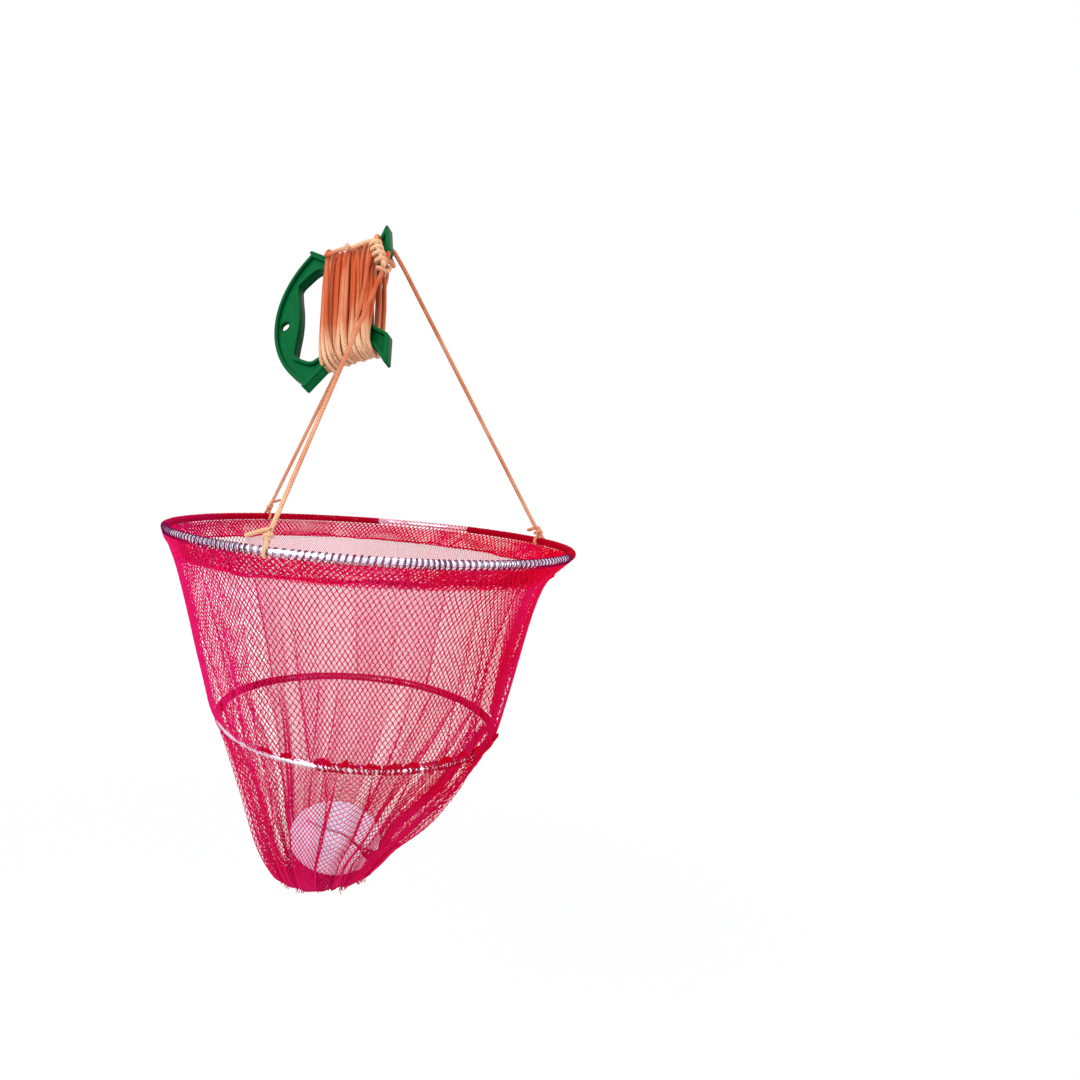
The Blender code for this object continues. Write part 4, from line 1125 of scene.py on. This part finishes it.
def leg_route(top, bottom, leaves):
    """A leg's even line from the loop on the prong straight down into its knot."""
    straight = [top.lerp(bottom, i / 18) for i in range(1, 19)]
    return even_line(smooth_line([leaves, top.lerp(leaves, 0.35)] + straight, 6), 0.0005)


def knot_route(wire, knot, bottom, lean, away, across, sizes):
    """The tied end's even line: in beside the leg, over the wire, up round the leg, and out as a tail."""
    loop_r, wrap_r, tail, tail_rise = sizes
    up = Vector((0.0, 0.0, 1.0))
    path = [bottom + lean * 5.0 * MM, bottom, knot + away * 1.2 * MM]
    for i, degrees in enumerate((62, 25, -20, -65, -110, -155, -200, -238)):
        turn = math.radians(degrees)
        path.append(wire + (away * math.cos(turn) + up * math.sin(turn)) * loop_r * MM
                    + across * (-1.5 + 0.42 * i) * MM)
    cross = lean.cross(across).normalized()
    for i in range(11):
        turn = math.radians(200.0 - 56.0 * i)
        path.append(knot - lean * 2.6 * MM + lean * 0.66 * i * MM
                    + (cross * math.cos(turn) + across * math.sin(turn)) * wrap_r * MM)
    end = path[-1]
    for i in range(1, 6):
        path.append(end + across * tail * i * MM + lean * tail_rise * i * MM - away * 0.3 * i * MM)
    return even_line(smooth_line(path, 8), 0.0006)


def make_bridle():
    """The three taut legs from the prong's loop to the hoop, and their knots with tails."""
    dye = shade(tuple(bpy.context.scene.hoop_net_cord.colour), 0.82)
    for side, (azimuth, start, leaves) in LEGS.items():
        shift, loop_r, thick, wrap_r, tail, tail_rise, bleached = KNOTS[side]
        angle = math.radians(azimuth)
        away = Vector((math.cos(angle), math.sin(angle), 0.0))
        beside = Vector((-math.sin(angle), math.cos(angle), 0.0))
        wire = HOOP_CENTRE + away * UPPER_HOOP_R * MM
        knot = wire - away * KNOT_INSET * MM + Vector((0.0, 0.0, KNOT_RISE * MM)) + beside * shift * MM
        wire, top = wire + beside * shift * MM, on_winder(*start)
        lean = (top - knot).normalized()
        bottom = knot + lean * 4.2 * MM
        route = leg_route(top, bottom, on_winder(*leaves))
        along = lengths(route)
        first, last = LEG_WEAR[side]
        wear = first + (last - first) * (along / along[-1]) ** 1.3 + 0.10 * np.sin(along * 90.0)
        leg = braided_cord("bridle_leg_%s_cord" % side, route, braid_material("bridle_cord_" + side, dye, wear=0.34),
                           relief=0.10, bleach=wear)
        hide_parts("bridle_leg_" + side)
        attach(leg, "upper_net")

        across = beside if side == "right" else -beside
        line = knot_route(wire, knot, bottom, lean, away, across, (loop_r, wrap_r, tail, tail_rise))
        tied = braided_cord("hoop_knot_%s_cord" % side, line, braid_material("knot_cord_" + side, wear=0.25),
                            radius=thick, relief=0.08, bleach=bleached)
        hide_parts("hoop_knot_" + side)
        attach(tied, "upper_net")


def make_bridle_loop():
    """The ring of cord round the upper prong that the legs leave from."""
    line = even_line(smooth_line([on_winder(*p) for p in PRONG_LOOP], 10), 0.0007)
    piece = braided_cord("bridle_loop_cord", line, braid_material("bridle_loop_braid"), relief=0.08, bleach=0.45)
    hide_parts("bridle_loop")
    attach(piece, "winder")


def racetrack(angle, half_height, half_thickness):
    """A rounded upright loop round the winder's waist, as (v, n)."""
    c, s = math.cos(angle), math.sin(angle)
    power = 2.0 / 3.8
    return half_height * math.copysign(abs(s) ** power, s), half_thickness * math.copysign(abs(c) ** power, c)


def wind_half_height(u):
    """Half height of the outer turns: straight over the waist, rising to the flares."""
    beyond = max(0.0, abs(u - WIND_MIDDLE) - 7.0) / 12.0
    return WIND_HALF_HEIGHT + (6.2 if u < WIND_MIDDLE else 3.0) * beyond ** 2


def wound_turns():
    """The turns on the waist in winder millimetres: three layers, a little loose, with a few turns crossed."""
    rng = np.random.default_rng(61)
    per_turn, turns, width = 48, WIND_LAYERS * LAYER_TURNS, WIND_PITCH * LAYER_TURNS
    anchors = rng.normal(0.0, 1.0, (turns * 4 + 4, 3))
    points = []
    for i in range(int(per_turn * (turns - 0.42)) + 1):
        tau = i / per_turn
        level = min(WIND_LAYERS - 1, int(tau // LAYER_TURNS))
        share = (tau - level * LAYER_TURNS) / LAYER_TURNS
        angle = 2 * math.pi * tau - math.pi / 2
        depth, short = (np.interp(tau, LAYER_STEPS, np.repeat(v, 2)) for v in (LAYER_DEPTHS, LAYER_SHORT))
        # Smooth wander between four anchors a turn
        k = int(tau * 4)
        f = tau * 4 - k
        f = f * f * (3 - 2 * f)
        wobble = anchors[k] * (1 - f) + anchors[k + 1] * f
        flat = abs(math.cos(angle)) ** 0.4
        bottom = max(0.0, -math.sin(angle)) ** 3
        loose = 1.0 if level == 2 else 0.5
        u = WIND_START + 0.5 + (width - 1.0) * (1.0 - share if level != 1 else share)
        u += loose * wobble[0] * (0.45 + 0.85 * flat)
        v, n = racetrack(angle, wind_half_height(u) - short, depth)
        v += loose * wobble[1] * (0.3 + 1.1 * bottom) * abs(math.sin(angle)) ** 2
        v += 1.6 * bottom * max(0.0, (50.0 - u) / 12.0)
        n += loose * 0.35 * wobble[2] * flat * (1 if n > 0 else -1)
        if level == 2:
            for turn_at, reach, proud in CROSSED_TURNS:
                away = tau - turn_at
                if -0.5 < away < 0.5:
                    slide = 0.5 + 0.5 * math.cos(2 * math.pi * away)
                    u += reach * slide
                    n += math.copysign(proud * min(1.0, 2.2 * slide * (1.0 - 0.45 * slide)), n) * flat
        if level >= 1:
            v += (2.8 + 0.16 * max(0.0, 48.0 - u)) * max(0.0, math.sin(angle)) ** 3
        u = min(max(u, WIND_START - 0.6), WIND_START + width + 0.6)
        # The turns lean outwards along the flared upper arm
        upper = min(1.0, max(0.0, (v + 38.0) / 40.0))
        u += (3.8 if n < 0 else 1.6) * max(0.0, (u - 58.0) / 17.0) ** 1.6 * upper * upper * (3 - 2 * upper)
        points.append((u, v, n))
    return np.array(points)


def hitch_coil():
    """The line whipped down round the upper prong: a little over four turns, sixteen points each."""
    count, coil = 4 * 16 + 6, []
    for i in range(count):
        turn = 2 * math.pi * i / 16 + 2.4
        t = i / (count - 1) * (len(HITCH_AXIS) - 1)
        k = min(int(t), len(HITCH_AXIS) - 2)
        spot = Vector(HITCH_AXIS[k]).lerp(Vector(HITCH_AXIS[k + 1]), t - k)
        spot += Vector((0.95, 0.30, 0.0)) * math.cos(turn) * 3.5 + Vector((0.0, 0.25, 0.97)) * math.sin(turn) * 3.0
        coil.append(tuple(spot))
    return coil


def make_hand_line():
    """The hand line, one cord from the winder's waist to the hitch at the upper prong."""
    turns = wound_turns()
    start = smooth_line([turns[-1], LEAD_ROUTE[0]], 4)[1:-1]
    tail = smooth_line([*LEAD_ROUTE, *hitch_coil()[::2], *TUCKED_END], 5)
    places = even_line(np.vstack([turns, start, tail]), 1.5)
    line = np.array([tuple(on_winder(*p)) for p in places])
    v, along = places[:, 1], lengths(line)
    # Bleached low on the winder and past the turns, streaky elsewhere
    low = np.clip((-v - 20.0 + 5.0 * np.sin(along * 37.0)) / 20.0, 0.0, 1.0)
    after = np.clip((along - lengths(turns)[-1] * MM) / 0.02, 0.0, 1.0)
    streak = 0.14 * np.sin(along * 23.0) + 0.10 * np.sin(along * 61.0 + 1.0)
    wear = np.clip(0.02 + streak + 0.14 * np.clip((30.0 - v) / 40.0, 0.0, 1.0) + 0.74 * low + 0.74 * after, 0.0, 1.0)
    dye = shade(tuple(bpy.context.scene.hoop_net_cord.colour), 0.88)
    piece = braided_cord("hand_line_cord", line, braid_material("hand_line_braid", dye, wear=0.22), sides=12,
                         bleach=wear)
    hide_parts("line_winding", "line_core", "line_lead", "line_hitch")
    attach(piece, "winder")


# Stage


def make_camera():
    """The camera at the photograph's place and turn."""
    yaw, pitch, roll = (math.radians(a) for a in CAMERA_TURN)
    ahead = Vector((math.sin(yaw) * math.cos(pitch), math.cos(yaw) * math.cos(pitch), -math.sin(pitch)))
    right = Vector((math.cos(yaw), -math.sin(yaw), 0.0))
    up = right.cross(ahead)
    across = right * math.cos(roll) + up * math.sin(roll)
    upward = up * math.cos(roll) - right * math.sin(roll)
    data = bpy.data.cameras.new("camera")
    data.lens = CAMERA_LENS
    data.sensor_width = 36.0
    data.shift_x, data.shift_y = CAMERA_SHIFT
    data.clip_start, data.clip_end = 0.01, 50.0
    camera = linked("camera", data)
    rows = [(*row, place) for row, place in zip(zip(across, upward, -ahead), CAMERA_PLACE)]
    camera.matrix_world = Matrix((*rows, (0.0, 0.0, 0.0, 1.0)))
    return camera


def make_room(strength):
    """A white background for the camera and gloss, and a plain soft light for the rest."""
    scene = bpy.context.scene
    world = scene.world or bpy.data.worlds.new("room")
    scene.world = world
    world.use_nodes = True
    tree = world.node_tree
    tree.nodes.clear()
    out, mix = tree.nodes.new("ShaderNodeOutputWorld"), tree.nodes.new("ShaderNodeMixShader")
    tree.links.new(background_rays(tree), mix.inputs[0])
    for slot, colour, level in ((1, (0.93, 0.94, 1.0, 1.0), strength), (2, (1.0, 1.0, 1.0, 1.0), 1.0)):
        shown = tree.nodes.new("ShaderNodeBackground")
        shown.inputs["Color"].default_value = colour
        shown.inputs["Strength"].default_value = level
        tree.links.new(shown.outputs[0], mix.inputs[slot])
    tree.links.new(mix.outputs[0], out.inputs["Surface"])


def make_stage():
    """Camera, white room, pale floor and soft lights."""
    scene = bpy.context.scene
    settings = scene.hoop_net_stage
    scene.camera = make_camera()
    scene.view_settings.view_transform = "Standard"
    make_room(settings.room)
    middle = (HOOP_CENTRE.x, HOOP_CENTRE.y)
    corners = [(middle[0] + FLOOR_HALF * x, middle[1] + FLOOR_HALF * y, FLOOR_LEVEL)
               for x, y in ((-1, -1), (1, -1), (1, 1), (-1, 1))]
    floor = mesh_object("floor", corners, [(0, 1, 2, 3)], smooth=False, skin=stage_material("pale_floor", 0.72))
    for name, (place, size, tint) in LAMPS.items():
        lamp = bpy.data.lights.new(name + "_light", "AREA")
        lamp.energy, lamp.size, lamp.color = getattr(settings, name), size, tint
        obj = linked(name + "_light", lamp)
        obj.location = place
        obj.rotation_euler = (Vector((*middle, LIT_LEVEL)) - Vector(place)).to_track_quat("-Z", "Y").to_euler()


# Hoops, winder and disc


def make_hoops():
    """The bright wire of both hoops."""
    for name, level, finish in (("upper_hoop", 0.0, "bright_hoop_wire_0"),
                                ("lower_hoop", -HOOP_DROP, "bright_hoop_wire_142")):
        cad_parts[name].material_slots[0].material = steel_material(finish, level)


def rounded_outline(points, radius=1.6, steps=4):
    """A closed outline with its corners rounded, as an array of (u, v)."""
    points = [np.array(q, float) for q in points]
    made = []
    for i, here in enumerate(points):
        before, after = points[i - 1] - here, points[(i + 1) % len(points)] - here
        reach = min(radius, 0.45 * np.linalg.norm(before), 0.45 * np.linalg.norm(after))
        start, end = here + before / np.linalg.norm(before) * reach, here + after / np.linalg.norm(after) * reach
        for t in np.linspace(0.0, 1.0, steps + 1):
            made.append((1 - t) ** 2 * start + 2 * t * (1 - t) * here + t ** 2 * end)
    return np.array(made)


def both_halves(half):
    """Completes a half outline with its mirror image below."""
    return list(half) + [(u, -v) for u, v in half if abs(v) > 1e-6][::-1]


def signed_area(points):
    """Area of a closed outline, above zero where it runs anticlockwise."""
    x, y = points[:, 0], points[:, 1]
    return 0.5 * float(np.sum(x * np.roll(y, -1) - np.roll(x, -1) * y))


def inset(points, distance):
    """A closed outline moved inwards by a distance, or outwards where it is below zero."""
    ahead = np.roll(points, -1, axis=0) - points
    ahead /= np.linalg.norm(ahead, axis=1)[:, None]
    left = np.stack([-ahead[:, 1], ahead[:, 0]], axis=1) * math.copysign(1.0, signed_area(points))
    miter = left + np.roll(left, 1, axis=0)
    miter /= np.linalg.norm(miter, axis=1)[:, None]
    return points + miter * (distance / np.maximum(0.6, np.sum(miter * left, axis=1)))[:, None]


def winder_mesh(name, rings, closed_tube):
    """A mesh from rings of (u, v, n); a tube joins its last ring to its first, a plate is capped."""
    count, size = len(rings), len(rings[0])
    verts = [on_winder(*q) for ring in rings for q in ring]
    faces = []
    for i in range(count if closed_tube else count - 1):
        k = (i + 1) % count
        for j in range(size):
            m = (j + 1) % size
            faces.append((i * size + j, i * size + m, k * size + m, k * size + j))
    if not closed_tube:
        faces += [tuple(range(size))[::-1], tuple(range((count - 1) * size, count * size))]
    return outward(mesh_object(name, verts, faces))


def rim_strip(outline, width, top):
    """A raised rim of a width inside an outline, on both faces, with rounded edges."""
    c = RIM_ROUNDING
    section = ((0.0, -top + c), (0.3 * c, -top + 0.3 * c), (c, -top), (width - c, -top),
               (width - 0.3 * c, -top + 0.3 * c), (width, -top + c))
    section = section + tuple((w, -n) for w, n in section[::-1])
    return winder_mesh("rim", [[(u, v, n) for u, v in inset(outline, away)] for away, n in section], True)


def winder_plate(name, outline, low, high):
    """A flat plate of the winder between two levels."""
    return winder_mesh(name, [[(u, v, n) for u, v in outline] for n in (low, high)], False)


def cut_away(solid, cutter):
    """Cuts one solid from another and removes the cutter."""
    step = solid.modifiers.new("cut", "BOOLEAN")
    step.operation, step.solver, step.object = "DIFFERENCE", "EXACT", cutter
    mesh = evaluated_mesh(solid)
    solid.modifiers.clear()
    solid.data = mesh
    bpy.data.objects.remove(cutter)


def finished(solid, angle, skin):
    """Smooths a solid up to an angle in degrees and gives it its only material."""
    solid.data.shade_smooth()
    solid.data.set_sharp_from_angle(angle=math.radians(angle))
    solid.data.materials.clear()
    solid.data.materials.append(skin)


def make_winder():
    """The moulded winder frame: a thin web with rounded rims along its outline and its finger opening."""
    rise = GRIP_END[0] - GRIP_APEX
    radius = (GRIP_END[1] ** 2 + rise ** 2) / (2 * rise)
    reach = math.asin(GRIP_END[1] / radius)
    arc = [(GRIP_APEX + radius * (1 - math.cos(reach * i / 20)), radius * math.sin(reach * i / 20)) for i in range(21)]
    outline = rounded_outline(both_halves([*arc, *ARM_OUTLINE, WAIST_END]))
    opening = rounded_outline(both_halves([*GRIP_OPENING, (OPENING_BULGE, 0.0)]), radius=3.4, steps=7)
    hole = np.array([(LANYARD_HOLE_R * math.cos(math.tau * i / 40), LANYARD_HOLE_R * math.sin(math.tau * i / 40))
                     for i in range(40)])
    web = winder_plate("winder_moulding", inset(outline, 0.8), -WEB_HALF, WEB_HALF)
    for shape in (inset(opening, -0.8), hole):
        cut_away(web, winder_plate("cutter", shape, -9.0, 9.0))
    parts = [rim_strip(outline, RIM_WIDTH, RIM_HEIGHT),
             rim_strip(inset(opening, -RIM_WIDTH), RIM_WIDTH, RIM_HEIGHT),
             rim_strip(inset(hole, -LANYARD_RIM), LANYARD_RIM, WEB_HALF + 0.35)]
    for side in (1, -1):
        bar = rounded_outline([(u, side * v) for u, v in EDGE_BAR], radius=0.8)
        parts.append(winder_plate("bar", bar, -RIM_HEIGHT - 0.2, RIM_HEIGHT + 0.2))
    parts.append(winder_plate("waist", rounded_outline(WAIST), -RIM_HEIGHT, RIM_HEIGHT))
    bm = bmesh.new()
    bm.from_mesh(web.data)
    for part in parts:
        bm.from_mesh(part.data)
        bpy.data.objects.remove(part)
    bm.to_mesh(web.data)
    bm.free()
    finished(web, 50.0, winder_material())
    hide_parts("winder_frame")
    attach(web, "winder")


def dished_sheet(name, lay):
    """A thin round sheet, dished up to its rounded rim, laid in place by a matrix."""
    radii = np.linspace(1.2, DISC_R - 0.8, 14)
    section = [(r, DISC_HALF + DISC_DISH * (r / DISC_R) ** 2) for r in radii]
    section += [(DISC_R + out, z) for out, z in DISC_RIM]
    section += [(r, -DISC_HALF + DISC_DISH * (r / DISC_R) ** 2) for r in radii[::-1]]
    size, count = DISC_SIDES, len(section)
    verts = [lay @ Vector((r * MM * math.cos(math.tau * j / size), r * MM * math.sin(math.tau * j / size), z * MM))
             for r, z in section for j in range(size)]
    verts += [lay @ Vector((0.0, 0.0, z * MM)) for z in (DISC_HALF, -DISC_HALF)]
    faces = [(i * size + j, i * size + (j + 1) % size, (i + 1) * size + (j + 1) % size, (i + 1) * size + j)
             for i in range(count - 1) for j in range(size)]
    for j in range(size):
        k = (j + 1) % size
        faces += [(count * size, k, j), (count * size + 1, (count - 1) * size + j, (count - 1) * size + k)]
    return outward(mesh_object(name, verts, faces))


def make_disc():
    """The pale dished disc in the bottom of the bag, with its slit."""
    lay = Matrix.Translation(on_net(*DISC_PLACE)) @ Matrix.Rotation(math.radians(DISC_TILT), 4, "X")
    disc = dished_sheet("base_disc_sheet", lay)
    slit = rounded_outline(DISC_SLIT, radius=5.0, steps=6)
    verts = [lay @ Vector((x * MM, y * MM, z * MM)) for z in (-4.0, 14.0) for x, y in slit]
    n = len(slit)
    faces = [tuple(range(n))[::-1], tuple(range(n, 2 * n))]
    faces += [(j, (j + 1) % n, n + (j + 1) % n, n + j) for j in range(n)]
    cut_away(disc, outward(mesh_object("slit_cutter", verts, faces)))
    finished(disc, 40.0, disc_material())
    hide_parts("base_disc")
    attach(disc, "disc")


# Operators and panel


class HOOPNET_OT_stage(bpy.types.Operator):
    """Makes the camera, the floor and the lights"""

    bl_idname = "hoopnet.stage"
    bl_label = "Stage"

    def execute(self, context):
        make_stage()
        return {"FINISHED"}


class HOOPNET_OT_hard_parts(bpy.types.Operator):
    """Finishes the hoops, the winder and the base disc"""

    bl_idname = "hoopnet.hard_parts"
    bl_label = "Hoops, Winder and Disc"

    def execute(self, context):
        make_hoops()
        make_winder()
        make_disc()
        return {"FINISHED"}


class HOOPNET_OT_upper_netting(bpy.types.Operator):
    """Knits the netting between the hoops"""

    bl_idname = "hoopnet.upper_netting"
    bl_label = "Upper Netting"

    def execute(self, context):
        make_upper_netting()
        return {"FINISHED"}


class HOOPNET_OT_lower_netting(bpy.types.Operator):
    """Knits the netting below the lower hoop"""

    bl_idname = "hoopnet.lower_netting"
    bl_label = "Lower Netting"

    def execute(self, context):
        make_lower_netting()
        return {"FINISHED"}


class HOOPNET_OT_mouth_hem(bpy.types.Operator):
    """Folds the netting over the upper hoop"""

    bl_idname = "hoopnet.mouth_hem"
    bl_label = "Mouth Hem"

    def execute(self, context):
        make_mouth_hem()
        return {"FINISHED"}


class HOOPNET_OT_hoop_casing(bpy.types.Operator):
    """Draws the netting round the lower hoop"""

    bl_idname = "hoopnet.hoop_casing"
    bl_label = "Hoop Casing"

    def execute(self, context):
        make_hoop_casing()
        return {"FINISHED"}


class HOOPNET_OT_side_seams(bpy.types.Operator):
    """Sews the side seam above and below the lower hoop"""

    bl_idname = "hoopnet.side_seams"
    bl_label = "Side Seams"

    def execute(self, context):
        make_side_seams()
        return {"FINISHED"}


class HOOPNET_OT_bag_end(bpy.types.Operator):
    """Bunches and ties the end of the bag"""

    bl_idname = "hoopnet.bag_end"
    bl_label = "Bag End"

    def execute(self, context):
        make_bag_end()
        return {"FINISHED"}


class HOOPNET_OT_bridle(bpy.types.Operator):
    """Braids the three bridle legs and ties them to the hoop"""

    bl_idname = "hoopnet.bridle"
    bl_label = "Bridle Legs and Knots"

    def execute(self, context):
        make_bridle()
        return {"FINISHED"}


class HOOPNET_OT_bridle_loop(bpy.types.Operator):
    """Braids the loop round the upper prong"""

    bl_idname = "hoopnet.bridle_loop"
    bl_label = "Bridle Loop"

    def execute(self, context):
        make_bridle_loop()
        return {"FINISHED"}


class HOOPNET_OT_hand_line(bpy.types.Operator):
    """Winds the hand line on its winder"""

    bl_idname = "hoopnet.hand_line"
    bl_label = "Hand Line"

    def execute(self, context):
        make_hand_line()
        return {"FINISHED"}


STEPS = (HOOPNET_OT_stage, HOOPNET_OT_hard_parts, HOOPNET_OT_upper_netting, HOOPNET_OT_lower_netting,
         HOOPNET_OT_mouth_hem, HOOPNET_OT_hoop_casing, HOOPNET_OT_side_seams, HOOPNET_OT_bag_end, HOOPNET_OT_bridle,
         HOOPNET_OT_bridle_loop, HOOPNET_OT_hand_line)
GROUPS = (("hoop_net_netting", NettingSettings), ("hoop_net_cord", CordSettings), ("hoop_net_hard", HardPartSettings),
          ("hoop_net_stage", StageSettings))


class HOOPNET_PT_panel(bpy.types.Panel):
    """Sidebar panel with the net's pieces and sizes"""

    bl_idname = "HOOPNET_PT_panel"
    bl_label = "Hoop Net"
    bl_space_type = "VIEW_3D"
    bl_region_type = "UI"
    bl_category = "Hoop Net"

    def draw(self, context):
        for name, group in GROUPS:
            box = self.layout.box()
            settings = getattr(context.scene, name)
            for key in group.__annotations__:
                box.prop(settings, key)
        for step in STEPS:
            self.layout.operator(step.bl_idname)


def register():
    """Registers every class and hangs the settings on the scene."""
    for name, group in GROUPS:
        bpy.utils.register_class(group)
        setattr(bpy.types.Scene, name, bpy.props.PointerProperty(type=group))
    for step in STEPS:
        bpy.utils.register_class(step)
    bpy.utils.register_class(HOOPNET_PT_panel)


def unregister():
    """Takes everything back."""
    bpy.utils.unregister_class(HOOPNET_PT_panel)
    for step in reversed(STEPS):
        bpy.utils.unregister_class(step)
    for name, group in reversed(GROUPS):
        delattr(bpy.types.Scene, name)
        bpy.utils.unregister_class(group)


def main():
    """Builds the dressed net step by step."""
    register()
    for step in STEPS:
        area, name = step.bl_idname.split(".")
        getattr(getattr(bpy.ops, area), name)()


if __name__ == "__main__":
    main()
